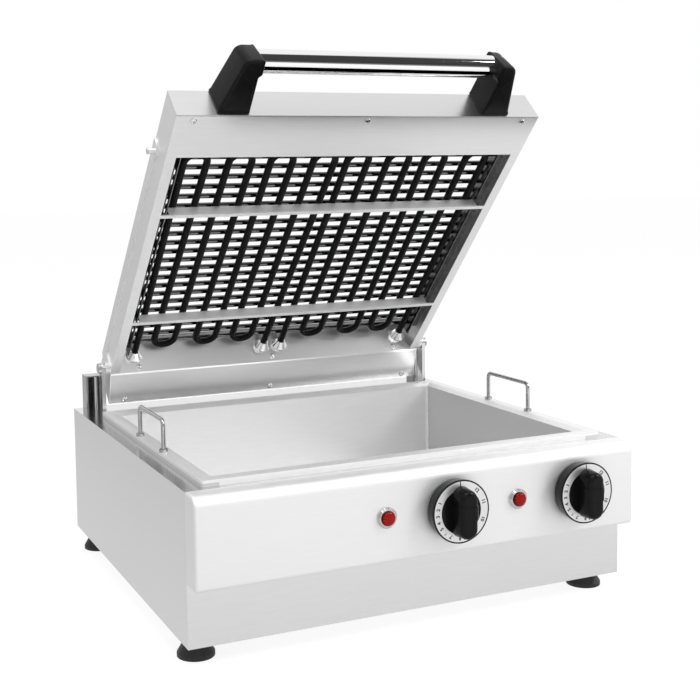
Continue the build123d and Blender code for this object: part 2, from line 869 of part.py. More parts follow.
def handle_bracket(side):
    """A moulded bracket that tapers up to a rounded head with a collar round the handle tube."""
    block = bracket_form(side)
    block = fillet(end_corners(block)[-1], bracket_outer_corner)
    block = fillet(end_corners(block)[0], bracket_inner_corner)
    rims = [e for f in block.faces().filter_by(Axis.Z) for e in f.edges()
            if e.center().Y < -frame_length - bracket_edge]
    block = fillet(rims, bracket_edge)
    tube_y = -frame_length - tube_rise
    socket = rod((side * (handle_x - overshoot), tube_y, tube_height),
                 (side * (handle_x + socket_depth), tube_y, tube_height), tube_radius)
    return drilled(Pos(handle_offset, 0, 0) * (block - socket), bracket_screws())


def handle_tube():
    """The chrome grip tube between the two sockets."""
    y = -frame_length - tube_rise
    reach = handle_x + socket_depth
    return tube((handle_offset - reach, y, tube_height), (handle_offset + reach, y, tube_height), tube_radius,
                tube_radius - tube_wall)


def screw(length=screw_shank):
    """A domed screw head on its shank, standing on Z 0."""
    shank = rod((0, 0, -length), (0, 0, 0), screw_shank_radius)
    return domed(screw_head_radius, screw_head_rim, screw_head_height) + shank


def drilled(part, places, length=screw_shank):
    """A piece with a hole for the shank of each screw that passes through it."""
    for place in places:
        part -= place * rod((0, 0, -length - screw_end_room), (0, 0, screw_end_room),
                            screw_shank_radius + fit_clearance)
    return part


def across():
    """The three places of a row of screws across the frame."""
    outer = frame_half - screw_side_inset
    return (-outer, 0, outer)


def front_screws():
    """Screws from below through the front cover plate into the cap's lip."""
    return [Plane(origin=(x, screw_edge - frame_length, 0), z_dir=(0, 0, -1)) for x in across()]


def rear_screws():
    """Screws through the foot of the rear plate into the terminal cover."""
    y, z = behind(rear_screw_up, 0)
    return [Plane(origin=(x, y, z), z_dir=(0, -lean_y, -lean_z)) for x in (-rear_screw_x, 0, rear_screw_x)]


def slope_screws():
    """Screws through the sloping floor into the terminal box's flange."""
    slope = hypot(box_depth, box_drop)
    down = (0, -box_drop / slope, -box_depth / slope)
    y = box_depth * (1 - slope_screw_edge / slope)
    return [Plane(origin=(x, y, slope_z(y, 0)), z_dir=down) for x in across()]


def arm_screw_at():
    """The (y, z) of the screw near the front end of a hinge arm."""
    return -arm_screw_s, frame_height - arm_screw_drop


def arm_screws():
    """A screw that stands out on a boss at the front end of each hinge arm."""
    y, z = arm_screw_at()
    reach = frame_half + arm_thickness + arm_boss_length
    return [Plane(origin=(side * reach, y, z), z_dir=(side, 0, 0)) for side in (-1, 1)]


def bracket_screws():
    """Two screws from inside the cap into each handle bracket."""
    x = handle_x + bracket_base / 2
    return [Plane(origin=(handle_offset + side * x, sheet - frame_length, z), z_dir=(0, 1, 0))
            for side in (-1, 1) for z in bracket_screw_heights]


def frame_screws():
    """Every screw of the heater frame."""
    places = front_screws() + rear_screws() + slope_screws() + bracket_screws()
    return group([place * screw() for place in places] + [place * screw(arm_shank) for place in arm_screws()])


# Cooking grate

def cooking_grate():
    """Round bars across the frame, welded between two side bars."""
    z = rail_top + grate_side_radius
    last_s = grate_first_s + (grate_bars - 1) * grate_pitch
    grate = None
    for side in (-1, 1):
        bar = rod((side * grate_side_x, grate_overhang - grate_first_s, z),
                  (side * grate_side_x, -last_s - grate_overhang, z), grate_side_radius)
        grate = bar if grate is None else grate + bar
    bars = [rod((-grate_side_x, -(grate_first_s + i * grate_pitch), z),
                (grate_side_x, -(grate_first_s + i * grate_pitch), z), grate_bar_radius)
            for i in range(grate_bars)]
    return grate + bars


def casing_parts():
    """Every fixed piece by node name."""
    parts = {
        "front_panel": front_panel(),
        "rear_panel": rear_panel(),
        "bottom_plate": bottom_plate(),
        "deck_plate": deck_plate(),
        "control_fascia": control_fascia(),
        "foot_studs": foot_studs(),
        "terminal_block": terminal_block(),
        "cable_gland": cable_gland(),
        "lamp_holders": group([lamp_holder(x) for x in lamp_x.values()]),
        "tie_rods": group([tie_rod(side) for side in sides.values()]),
        "pivot_bolts": group([pivot_bolt(side) for side in sides.values()]),
    }
    for name, side in sides.items():
        parts["side_panel_" + name] = side_panel(side)
        parts["hinge_post_" + name] = hinge_post(side)
        parts["hinge_strap_" + name] = hinge_strap(side)
        parts["regulator_body_" + name] = regulator_body(control_x[name])
        parts["lamp_bezel_" + name] = lamp_bezel(lamp_x[name])
        parts["lamp_lens_" + name] = lamp_lens(lamp_x[name])
    for name, place in feet.items():
        parts["foot_" + name] = foot(*place)
    return parts


def pan_parts():
    """The lift-out pan and its handles."""
    parts = {"water_pan": water_pan(), "pan_handle_collars": pan_handle_collars()}
    for name, side in sides.items():
        parts["pan_handle_" + name] = pan_handle(side)
    return parts


def knob_parts():
    """Both knobs with their dial rings and shafts."""
    parts = {}
    for name, x in control_x.items():
        parts["knob_" + name] = knob(x)
        parts["dial_ring_" + name] = dial_ring(x)
        parts["regulator_shaft_" + name] = regulator_shaft(x)
    return parts


def frame_parts():
    """The swinging heater frame, lying closed."""
    parts = {
        "front_cap": front_cap(),
        "front_cover_plate": front_cover_plate(),
        "rear_plate": rear_plate(),
        "terminal_cover": terminal_cover(),
        "terminal_box": terminal_box(),
        "cross_bar_front": cross_bar(bar_front_s),
        "cross_bar_rear": cross_bar(bar_rear_s),
        "element_bushings": element_bushings(),
        "element_terminals": element_terminals(),
        "stop_pins": stop_pins(),
        "handle_tube": handle_tube(),
        "frame_screws": frame_screws(),
        "cooking_grate": cooking_grate(),
    }
    for name, side in sides.items():
        parts["side_member_" + name] = side_member(side)
        parts["slotted_rail_" + name] = slotted_rail(side)
        parts["heating_element_" + name] = heating_element(name)
        parts["hinge_arm_" + name] = hinge_arm(side)
        parts["handle_bracket_" + name] = handle_bracket(side)
    return parts


def main():
    os.makedirs("parts", exist_ok=True)
    fixed = {**casing_parts(), **pan_parts(), **knob_parts()}
    placed = {name: row_place * part for name, part in fixed.items()}
    for name, part in frame_parts().items():
        placed[name] = row_place * lid_place * part
    for name, part in placed.items():
        export_step(part, os.path.join("parts", name + ".step"))


main()
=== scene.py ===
import json
import math

import bpy
import numpy as np
from bpy.props import FloatProperty, FloatVectorProperty, IntProperty, PointerProperty
from mathutils import Matrix, Vector


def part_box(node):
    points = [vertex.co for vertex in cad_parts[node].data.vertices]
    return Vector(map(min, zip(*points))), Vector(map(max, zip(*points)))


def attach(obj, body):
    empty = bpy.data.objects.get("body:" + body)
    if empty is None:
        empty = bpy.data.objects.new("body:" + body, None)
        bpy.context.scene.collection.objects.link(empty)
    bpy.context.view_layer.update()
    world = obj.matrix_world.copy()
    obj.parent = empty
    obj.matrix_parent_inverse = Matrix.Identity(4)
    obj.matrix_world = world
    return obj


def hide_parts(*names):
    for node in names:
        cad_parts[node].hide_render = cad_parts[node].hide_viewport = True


bl_info = {
    "name": "Water Grill",
    "version": (1, 0, 0),
    "blender": (4, 5, 0),
    "location": "3D View > Sidebar > Water Grill",
    "description": "Looks for an electric table-top water grill around its CAD frame",
    "category": "Object",
}

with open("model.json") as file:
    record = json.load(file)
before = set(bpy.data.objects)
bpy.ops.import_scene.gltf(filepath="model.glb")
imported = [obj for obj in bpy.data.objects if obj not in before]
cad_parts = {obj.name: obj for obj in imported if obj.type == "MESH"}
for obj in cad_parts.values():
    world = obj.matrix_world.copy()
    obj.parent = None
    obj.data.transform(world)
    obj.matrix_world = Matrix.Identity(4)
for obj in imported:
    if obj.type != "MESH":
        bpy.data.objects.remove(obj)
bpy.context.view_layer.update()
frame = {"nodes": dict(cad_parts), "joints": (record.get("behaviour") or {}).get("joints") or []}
nodes = frame["nodes"]

MM = 0.001
SIDES = {"left": -1, "right": 1}

# The heater frame at rest: its hinge, and its own axes, where s runs forward along the underside from
# the rear fold and n stands up from the underside. Its sizes are in millimetres.
HINGE = next(joint for joint in frame["joints"] if joint["name"] == "lid_hinge")
PIVOT = np.array(HINGE["pos_m"])
TILT = math.radians(-HINGE["range_deg"][0])
FORWARD = np.array([0.0, -math.cos(TILT), math.sin(TILT)])
OUTWARD = np.array([0.0, math.sin(TILT), math.cos(TILT)])
PIVOT_FROM_FOLD = 3.0
PIVOT_ABOVE_UNDERSIDE = 9.0
FRAME_HALF = 233.5
FRAME_LENGTH = 450.0
HANDLE_OFFSET = 2.2


def add_object(name, data):
    obj = bpy.data.objects.new(name, data)
    bpy.context.scene.collection.objects.link(obj)
    return obj


# Camera: found by solving the photograph's view of the casing's edges

CAMERA_PLACE = (-0.6362, -1.3379, 0.5067)
CAMERA_YAW = 0.412
CAMERA_PITCH = 0.082
CAMERA_ROLL = -0.015
CAMERA_SENSOR = 36.0
CAMERA_LENS = 61.25
CAMERA_SHIFT = (0.0793, -0.1166)


def camera_axes():
    """Right, up and backward directions of a camera that is yawed right, pitched down and rolled."""
    yaw, pitch, roll = CAMERA_YAW, CAMERA_PITCH, CAMERA_ROLL
    forward = np.array([math.sin(yaw) * math.cos(pitch), math.cos(yaw) * math.cos(pitch),
                        -math.sin(pitch)])
    level = np.array([math.cos(yaw), -math.sin(yaw), 0.0])
    upright = np.cross(level, forward)
    right = math.cos(roll) * level + math.sin(roll) * upright
    up = math.cos(roll) * upright - math.sin(roll) * level
    return right, up, -forward


def add_camera():
    data = bpy.data.cameras.new("photo_camera")
    data.sensor_width = CAMERA_SENSOR
    data.lens = CAMERA_LENS
    data.shift_x, data.shift_y = CAMERA_SHIFT
    camera = add_object("photo_camera", data)
    matrix = Matrix.Identity(4)
    for column, axis in enumerate(camera_axes()):
        for row in range(3):
            matrix[row][column] = axis[row]
    matrix.translation = Vector(CAMERA_PLACE)
    camera.matrix_world = matrix
    bpy.context.scene.camera = camera


# Meshes worked out with numpy

def mesh_object(name, points, faces, smooth=True, uv=None):
    """A mesh object from an (n, 3) array of points in metres and a list of faces; uv is (n, 2)."""
    mesh = bpy.data.meshes.new(name)
    mesh.from_pydata(np.asarray(points, float).tolist(), [], [list(map(int, f)) for f in faces])
    mesh.polygons.foreach_set("use_smooth", np.full(len(mesh.polygons), smooth))
    if uv is not None:
        loops = np.empty(len(mesh.loops), np.int32)
        mesh.loops.foreach_get("vertex_index", loops)
        layer = mesh.uv_layers.new(name="surface")
        layer.data.foreach_set("uv", np.asarray(uv, float)[loops].ravel())
    mesh.update()
    return add_object(name, mesh)


def ring_skin(rings):
    """Points and faces of a closed skin over rings: an (n, m, 3) array, closed round m, with a fan over
    each end. Faces point outwards when the rings turn counterclockwise about the direction of n."""
    count, around = rings.shape[:2]
    ends = rings[[0, -1]].mean(axis=1)
    points = np.concatenate([rings.reshape(-1, 3), ends])
    i = np.arange(around)
    j = (i + 1) % around
    rows = np.arange(count - 1)[:, None] * around
    quads = np.stack([rows + i, rows + j, rows + around + j, rows + around + i], axis=-1).reshape(-1, 4)
    last = (count - 1) * around
    start = np.stack([np.full(around, count * around), j, i], axis=-1)
    finish = np.stack([np.full(around, count * around + 1), last + i, last + j], axis=-1)
    return points, quads.tolist() + start.tolist() + finish.tolist()


def joined(parts):
    """Several (points, faces) pairs as one."""
    points, faces, base = [], [], 0
    for part_points, part_faces in parts:
        points.append(np.asarray(part_points, float))
        faces.extend([[index + base for index in face] for face in part_faces])
        base += len(part_points)
    return np.concatenate(points), faces


def lathe(profile, segments):
    """Rings about +Z from a profile of (radius, height) rows, from the bottom up: the point at angle t
    is (r cos t, r sin t, z)."""
    profile = np.asarray(profile, float)
    turn = np.linspace(0, 2 * math.pi, segments, endpoint=False)
    radius, height = profile[:, :1], profile[:, 1:]
    return np.stack([radius * np.cos(turn), radius * np.sin(turn), height + 0 * turn], axis=-1)


def placed(points, origin, axis, across=(1.0, 0.0, 0.0)):
    """Points moved from a frame with +Z along axis and +X near across to the row frame."""
    z = np.asarray(axis, float) / np.linalg.norm(axis)
    x = np.asarray(across, float) - z * np.dot(across, z)
    x /= np.linalg.norm(x)
    y = np.cross(z, x)
    return np.asarray(origin, float) + points @ np.array([x, y, z])


def on_lid(points):
    """Row coordinates in metres of (x, s, n) rows in millimetres of the raised heater frame."""
    points = np.asarray(points, float)
    x, s, n = points[..., 0], points[..., 1], points[..., 2]
    along = (s - PIVOT_FROM_FOLD) * MM
    above = (n - PIVOT_ABOVE_UNDERSIDE) * MM
    base = np.array([0.0, PIVOT[1], PIVOT[2]])
    return (base + (x * MM)[..., None] * np.array([1.0, 0, 0]) + along[..., None] * FORWARD
            + above[..., None] * OUTWARD)


# Nodes of a material or group

def feed(tree, node, values):
    """Each input in values is linked to its value if that is a node's output, or else set to it."""
    for key, value in values.items():
        if isinstance(value, bpy.types.NodeSocket):
            tree.links.new(value, node.inputs[key])
        else:
            node.inputs[key].default_value = value


def new_node(tree, kind, values=None, **settings):
    """A shader node of this kind with its settings and its inputs."""
    node = tree.nodes.new("ShaderNode" + kind)
    for name, value in settings.items():
        setattr(node, name, value)
    feed(tree, node, values or {})
    return node


def computed(tree, operation, *values):
    return new_node(tree, "Math", dict(enumerate(values)), operation=operation).outputs[0]


def ranged(tree, value, source=(0.0, 1.0), target=(0.0, 1.0), interpolation="LINEAR"):
    """The value taken from the source range to the target range, and held at its ends."""
    limits = dict(zip(("From Min", "From Max", "To Min", "To Max"), (*source, *target)))
    node = new_node(tree, "MapRange", {"Value": value, **limits}, interpolation_type=interpolation)
    return node.outputs[0]


def mixed(tree, factor, first, second, blend="MIX"):
    """A mix of two colours."""
    node = new_node(tree, "Mix", {0: factor, 6: first, 7: second}, data_type="RGBA", blend_type=blend)
    return node.outputs[2]


def noise(tree, place, scale, detail, roughness=0.5):
    values = {"Vector": place, "Scale": scale, "Detail": detail, "Roughness": roughness}
    return new_node(tree, "TexNoise", values).outputs["Fac"]


def bumped(tree, height, distance, strength):
    values = {"Height": height, "Distance": distance, "Strength": strength}
    return new_node(tree, "Bump", values).outputs["Normal"]


def coordinate(tree, kind="Object"):
    return new_node(tree, "TexCoord").outputs[kind]


def parts_of(tree, vector):
    """The X, Y and Z outputs of a vector."""
    return new_node(tree, "SeparateXYZ", {0: vector}).outputs


def ray_kinds(tree):
    """The outputs of a Light Path node, and one that is 1 for a mirror or glass ray."""
    path = new_node(tree, "LightPath").outputs
    return path, computed(tree, "MAXIMUM", path["Is Glossy Ray"], path["Is Transmission Ray"])


# Materials

WHITE = (1.0, 1.0, 1.0)
FINISH_OUTPUTS = (("Color", "NodeSocketColor", "Base Color"),
                  ("Roughness", "NodeSocketFloat", "Roughness"),
                  ("Normal", "NodeSocketVector", "Normal"))

# Stretch of a sheet's noise along x, y and z: its lines run in the direction of the lowest number
LINES_ALONG_X = (25, 500, 500)
LINES_ALONG_Y = (400, 25, 400)
LINES_ALONG_Z = (400, 400, 40)
BAR_LINES = (60, 400, 400)
EVEN_GRAIN = (300, 300, 300)


def shaded(color, share):
    """The colour scaled by share, opaque."""
    return (*(value * share for value in color), 1)


def new_material(name):
    material = bpy.data.materials.new(name)
    material.use_nodes = True
    tree = material.node_tree
    tree.nodes.clear()
    shader = new_node(tree, "BsdfPrincipled")
    new_node(tree, "OutputMaterial", {"Surface": shader.outputs["BSDF"]})
    return material, tree, shader


def finish_group(name, inputs):
    """A node group with these inputs and the outputs of a finish, its inputs' values inside, and its
    output node."""
    group = bpy.data.node_groups.new(name, "ShaderNodeTree")
    for title, kind, default in inputs:
        socket = group.interface.new_socket(name=title, in_out="INPUT", socket_type=kind)
        socket.default_value = default
    for title, kind, _ in FINISH_OUTPUTS:
        group.interface.new_socket(name=title, in_out="OUTPUT", socket_type=kind)
    return group, group.nodes.new("NodeGroupInput").outputs, group.nodes.new("NodeGroupOutput")


def material_with(name, group, values):
    """A material whose colour, roughness and normal come from a finish group with these inputs."""
    material, tree, shader = new_material(name)
    finish = new_node(tree, "Group", values, node_tree=group)
    feed(tree, shader, {target: finish.outputs[title] for title, _, target in FINISH_OUTPUTS})
    return material, shader


def brushed_group():
    """Drawn-out noise for a rolled or brushed sheet: roughness that varies along fine lines, slow
    smudges on top, and a shallow normal that follows the lines."""
    name = "Sheet finish"
    if name in bpy.data.node_groups:
        return bpy.data.node_groups[name]
    group, entry, leave = finish_group(name, [
        ("Line Stretch", "NodeSocketVector", (40.0, 900.0, 900.0)),
        ("Base Roughness", "NodeSocketFloat", 0.2),
        ("Line Roughness", "NodeSocketFloat", 0.1),
        ("Smudge Roughness", "NodeSocketFloat", 0.08),
        ("Light Color", "NodeSocketColor", (0.8, 0.8, 0.8, 1)),
        ("Dark Color", "NodeSocketColor", (0.7, 0.7, 0.7, 1)),
        ("Line Depth", "NodeSocketFloat", 0.02)])
    place = coordinate(group)
    drawn = new_node(group, "VectorMath", {0: place, 1: entry["Line Stretch"]}, operation="MULTIPLY")
    lines = noise(group, drawn.outputs[0], scale=1.0, detail=3.0)
    smudges = noise(group, place, scale=9.0, detail=4.0, roughness=0.6)
    lined = computed(group, "MULTIPLY_ADD", lines, entry["Line Roughness"], entry["Base Roughness"])
    feed(group, leave, {
        "Color": mixed(group, lines, entry["Dark Color"], entry["Light Color"]),
        "Roughness": computed(group, "MULTIPLY_ADD", smudges, entry["Smudge Roughness"], lined),
        "Normal": bumped(group, lines, distance=0.0002, strength=entry["Line Depth"])})
    return group


def sheet_steel(name, color, grain, base, line=0.06, smudge=0.05, depth=0.03, light=1.0, dark=0.94):
    """Stainless sheet: metallic, with drawn-out grain and smudges. Its roughness is base, raised by up
    to line and smudge, and its colour runs from dark to light times the one given. Some callers move
    light and dark well away from 1 to make lighter and darker copies of one colour: painted light and
    painted shade."""
    material, shader = material_with(name, brushed_group(), {
        "Line Stretch": grain, "Base Roughness": base, "Line Roughness": line,
        "Smudge Roughness": smudge, "Line Depth": depth,
        "Light Color": shaded(color, light), "Dark Color": shaded(color, dark)})
    shader.inputs["Metallic"].default_value = 1.0
    return material


# The pan's side walls in metres: |x| is past the first and z is under the second. There the colour is
# darkened as painted shade.
SIDE_WALL_X = 0.2294
SIDE_WALL_Z = 0.1895


def paint_wall_shade(material, share):
    """Painted shade: the colour of the pan's side walls is multiplied by share, so that they look less lit.
    """
    tree = material.node_tree
    shader = next(node for node in tree.nodes if node.type == "BSDF_PRINCIPLED")
    color = shader.inputs["Base Color"].links[0].from_socket
    place = parts_of(tree, coordinate(tree))
    # Painted shade mask: 1 on the pan's side walls, whose colour is darkened
    wide = computed(tree, "GREATER_THAN", computed(tree, "ABSOLUTE", place["X"]), SIDE_WALL_X)
    low = computed(tree, "LESS_THAN", place["Z"], SIDE_WALL_Z)
    painted_shade_mask = computed(tree, "MULTIPLY", wide, low)
    feed(tree, shader, {"Base Color": mixed(tree, painted_shade_mask, color, shaded(WHITE, share), "MULTIPLY")})


def grain_group():
    """Fine moulded grain: noise for the height, a slower noise for roughness and colour."""
    name = "Moulded grain"
    if name in bpy.data.node_groups:
        return bpy.data.node_groups[name]
    group, entry, leave = finish_group(name, [
        ("Grain Scale", "NodeSocketFloat", 1500.0),
        ("Grain Depth", "NodeSocketFloat", 0.1),
        ("Low Roughness", "NodeSocketFloat", 0.35),
        ("High Roughness", "NodeSocketFloat", 0.5),
        ("Deep Color", "NodeSocketColor", (0.01, 0.01, 0.01, 1)),
        ("Worn Color", "NodeSocketColor", (0.03, 0.03, 0.03, 1))])
    place = coordinate(group)
    grain = noise(group, place, scale=entry["Grain Scale"], detail=2.0)
    wear = noise(group, place, scale=35.0, detail=5.0)
    roughness = (entry["Low Roughness"], entry["High Roughness"])
    feed(group, leave, {
        "Color": mixed(group, wear, entry["Deep Color"], entry["Worn Color"]),
        "Roughness": ranged(group, wear, source=(0.3, 0.7), target=roughness),
        "Normal": bumped(group, grain, distance=0.0003, strength=entry["Grain Depth"])})
    return group


def moulding(name, color, worn, roughness, scale, depth, specular=0.5, deep=1.0):
    """Moulded plastic, rubber or an oxidised sheath with a fine grain. Roughness is its low and its
    high value, and the colour runs from deep to worn times the one given."""
    material, shader = material_with(name, grain_group(), {
        "Grain Scale": scale, "Grain Depth": depth,
        "Low Roughness": roughness[0], "High Roughness": roughness[1],
        "Deep Color": shaded(color, deep), "Worn Color": shaded(color, worn)})
    shader.inputs["Specular IOR Level"].default_value = specular
    return material


# Where the lens turns from the deep rim colour to the brighter middle's, which is painted light, and what a
# facet's painted dark side keeps
LENS_RAMP = (0.60, 0.70)
PAINTED_FACET_SHADE = 0.4


def lens_red(rim, middle_with_painted_light, facets):
    """Red moulding, deep at the rim and brighter in the middle, which is painted light standing in for
    light coming back through the lens, with a painted dark side on each facet; the UV map's v runs from rim
    to middle and its u runs once round, so facets follow the lens."""
    material, tree, shader = new_material("red lens")
    parts = parts_of(tree, new_node(tree, "UVMap", uv_map="surface").outputs["UV"])
    ramp = new_node(tree, "ValToRGB", {"Fac": parts["Y"]})
    for element, position, color in zip(ramp.color_ramp.elements, LENS_RAMP, (rim, middle_with_painted_light)):
        element.position = position
        element.color = (*color, 1)
    # Painted shade: the colour dips on one side of each facet
    wave = computed(tree, "SINE", computed(tree, "MULTIPLY", parts["X"], 2 * math.pi * facets))
    painted_facet_shade = ranged(tree, wave, source=(-1.0, 1.0), target=(PAINTED_FACET_SHADE, 1.0))
    feed(tree, shader, {
        "Base Color": mixed(tree, 1.0, ramp.outputs["Color"], painted_facet_shade, "MULTIPLY"),
        "Roughness": 0.06, "Specular IOR Level": 0.1, "Coat Weight": 0.08, "Coat Roughness": 0.03})
    return material


def paint(material, *starts):
    """The material goes on the CAD nodes whose names start with one of these."""
    for name, node in nodes.items():
        if name.startswith(starts):
            slots = node.material_slots
            if not slots:
                node.data.materials.append(material)
            for slot in slots:
                slot.material = material


def finished(piece, material, body, slot, *replaced):
    """A new piece with its finish, on its body, standing for the CAD nodes that it replaces."""
    piece.data.materials.append(material)
    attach(piece, body)
    if replaced:
        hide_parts(*replaced)


# Settings

def size(name, description, default):
    return FloatProperty(name=name, description=description, default=default, min=0.0, unit="LENGTH",
                         precision=5)


def amount(name, description, default, low=0.0, high=1.0):
    return FloatProperty(name=name, description=description, default=default, min=low, max=high)


def tint(name, description, default):
    return FloatVectorProperty(name=name, description=description, default=default, min=0.0, max=1.0,
                               subtype="COLOR")


class GrillStage(bpy.types.PropertyGroup):
    floor: tint("Floor", "Colour of the floor under soft light", (0.9, 0.9, 0.9))
    floor_seen: amount("Floor seen", "How bright the floor is to the camera and in reflections", 0.86)
    ambient: amount("Ambient", "Strength of the even light from all round", 0.6)
    dark_side: amount("Dark side", "Brightness of the unlit corner of the studio in reflections", 0.05)
    left_side: amount("Left side", "Brightness of the studio's left side in reflections", 0.64)
    near: amount("Table edge", "Brightness of the table close to the grill in reflections", 0.66)
    table_front: size("Table front", "How far in front of the grill the white table ends", 2.6)
    key: amount("Key light", "Power of the main light", 31.0, 0.0, 500.0)
    fill: amount("Fill light", "Power of the second light", 2.5, 0.0, 500.0)
    spark: amount("Small lights", "Power of each of the two small lights", 2.4, 0.0, 500.0)
    top: amount("Top light", "Power of the light over the grill", 11.0, 0.0, 500.0)


class GrillSteel(bpy.types.PropertyGroup):
    casing: tint("Casing", "Colour of the casing's sheet", (0.87, 0.87, 0.87))
    # The frame's and the pan's colours are the steel's own, raised above the casing's as painted light so
    # that their insides look brightly lit
    heater_frame: tint("Frame", "Colour of the heater frame's sheet", (0.96, 0.96, 0.96))
    pan: tint("Pan", "Colour of the pan's sheet", (0.97, 0.97, 0.97))
    bright: tint("Polished", "Colour of the polished pieces", (0.90, 0.90, 0.90))
    # Share of its colour that the pan's side walls keep under their painted shade
    pan_wall_painted_shade: amount("Pan wall painted shade", "How much light the pan's side walls keep", 0.78)
    # The grate's dark colour is painted reflection: it stands in for the dark room that the polished rods
    # mirror
    grate: tint("Grate", "Colour of the darkened grate and rails", (0.22, 0.22, 0.22))
    casing_roughness: amount("Casing roughness", "Roughness of the casing's sheet", 0.32)
    frame_roughness: amount("Frame roughness", "Roughness of the heater frame's sheet", 0.42)
    pan_roughness: amount("Pan roughness", "Roughness of the pan's sheet", 0.50)
    deck_roughness: amount("Deck roughness", "Roughness of the polished deck", 0.14)


class GrillBlack(bpy.types.PropertyGroup):
    moulded: tint("Mouldings", "Colour of brackets and knobs", (0.004, 0.004, 0.0042))
    element: tint("Elements", "Colour of the oxidised heating elements", (0.006, 0.006, 0.006))
    rubber: tint("Feet", "Colour of the feet", (0.008, 0.008, 0.008))
    # The lens is red; its brighter middle is painted light
    lens_rim: tint("Lens rim", "Colour of a lamp lens at its rim", (0.06, 0.0005, 0.0005))
    lens_middle_with_painted_light: tint("Lens middle", "Colour of a lamp lens in its middle", (0.46, 0.010, 0.006))


class GrillPrint(bpy.types.PropertyGroup):
    digit_height: size("Digit height", "Height of a number on the dial", 4.4 * MM)
    digit_radius: size("Digit radius", "Distance of the numbers from the knob's middle", 29.2 * MM)
    proud: size("Proud", "How far the print stands above the dial", 0.06 * MM)
    tick_width: size("Tick width", "Width of the pointer mark", 1.2 * MM)
    tick_length: size("Tick length", "Length of the pointer mark", 5.5 * MM)


class GrillDetail(bpy.types.PropertyGroup):
    recess: size("Screw recess", "Depth of the cross in a screw head", 1.1 * MM)
    bead: size("Weld bead", "Radius of the pan's welded corners", 2.6 * MM)
    bracket_rim: size("Bracket rim", "Radius of the handle brackets' outer edges", 3.6 * MM)
    facets: IntProperty(name="Lens facets", description="Facets round a lamp lens", default=12, min=3)


# Stage

# Sizes are in metres, and a pair is where a change begins and where it ends
FLOOR_HALF = 14.0
FLOOR_UNDER_GLOW = (0.22, 0.22, 0.22, 1)
FLOOR_LEFT_FADE = (-0.35, -0.9)
FLOOR_NEAR_FADE = (-0.32, -0.85)
TABLE_EDGE = 0.1
BOARD_X = (-0.16, 0.30)
BOARD_Y = (-0.20, -0.115)
BOARD_HEIGHT = 0.52

# The room in reflections, as parts of a direction of length 1
ROOM_OVERHEAD = (0.80, 0.86)
ROOM_FRONT = (-0.10, -0.45)
ROOM_LEFT = (-0.05, -0.35)
CORNER_X = 0.43
CORNER_WIDTH = (0.22, 0.14)


def flat_sheet(name, x, y, z):
    """A rectangle that faces up, from its x and y ranges and its height."""
    points = [(x[0], y[0], z), (x[1], y[0], z), (x[1], y[1], z), (x[0], y[1], z)]
    return mesh_object(name, points, [[0, 1, 2, 3]], smooth=False)


def add_floor(settings):
    """A white table top. Plain light rays meet a pale diffuse floor. Camera, mirror and glass rays see
    it lit from within as well, less where the object's shadow falls. To mirrors it is dark past its
    front edge, and dimmer close in front of the grill and far to the left."""
    floor = flat_sheet("studio_floor", (-FLOOR_HALF, FLOOR_HALF), (-FLOOR_HALF, FLOOR_HALF), 0.0)
    material, tree, shader = new_material("studio floor")
    path, mirror = ray_kinds(tree)
    place = parts_of(tree, coordinate(tree))
    edge = (-settings.table_front - TABLE_EDGE, -settings.table_front)
    table = ranged(tree, place["Y"], edge, (settings.dark_side, settings.floor_seen))
    near = ranged(tree, place["Y"], FLOOR_NEAR_FADE, (settings.near, 1.0))
    left = ranged(tree, place["X"], FLOOR_LEFT_FADE, (1.0, settings.left_side))
    reflected = computed(tree, "MULTIPLY", computed(tree, "MULTIPLY", table, near), left)
    reflected = computed(tree, "MULTIPLY", mirror, reflected)
    seen = computed(tree, "MAXIMUM", path["Is Camera Ray"], mirror)
    feed(tree, shader, {
        "Base Color": mixed(tree, seen, (*settings.floor, 1), FLOOR_UNDER_GLOW),
        "Roughness": 1.0, "Specular IOR Level": 0.0, "Emission Color": (*WHITE, 1),
        "Emission Strength": computed(tree, "MULTIPLY_ADD", path["Is Camera Ray"],
                                      settings.floor_seen, reflected)})
    floor.data.materials.append(material)


def add_flag():
    """A small black board above the table in front of the grill, met by mirror rays only, which gives
    the handle tube its lower dark line."""
    flag = flat_sheet("studio_flag", BOARD_X, BOARD_Y, BOARD_HEIGHT)
    material, tree, shader = new_material("black board")
    feed(tree, shader, {"Base Color": (0, 0, 0, 1), "Specular IOR Level": 0.0})
    flag.data.materials.append(material)
    for ray in ("camera", "diffuse", "shadow", "transmission"):
        setattr(flag, "visible_" + ray, False)


def add_light(name, place, target, extent, power):
    data = bpy.data.lights.new(name, "AREA")
    data.shape = "RECTANGLE"
    data.size, data.size_y = extent
    data.energy = power
    light = add_object(name, data)
    place, target = Vector(place), Vector(target)
    light.rotation_euler = (target - place).to_track_quat("-Z", "Y").to_euler()
    light.location = place


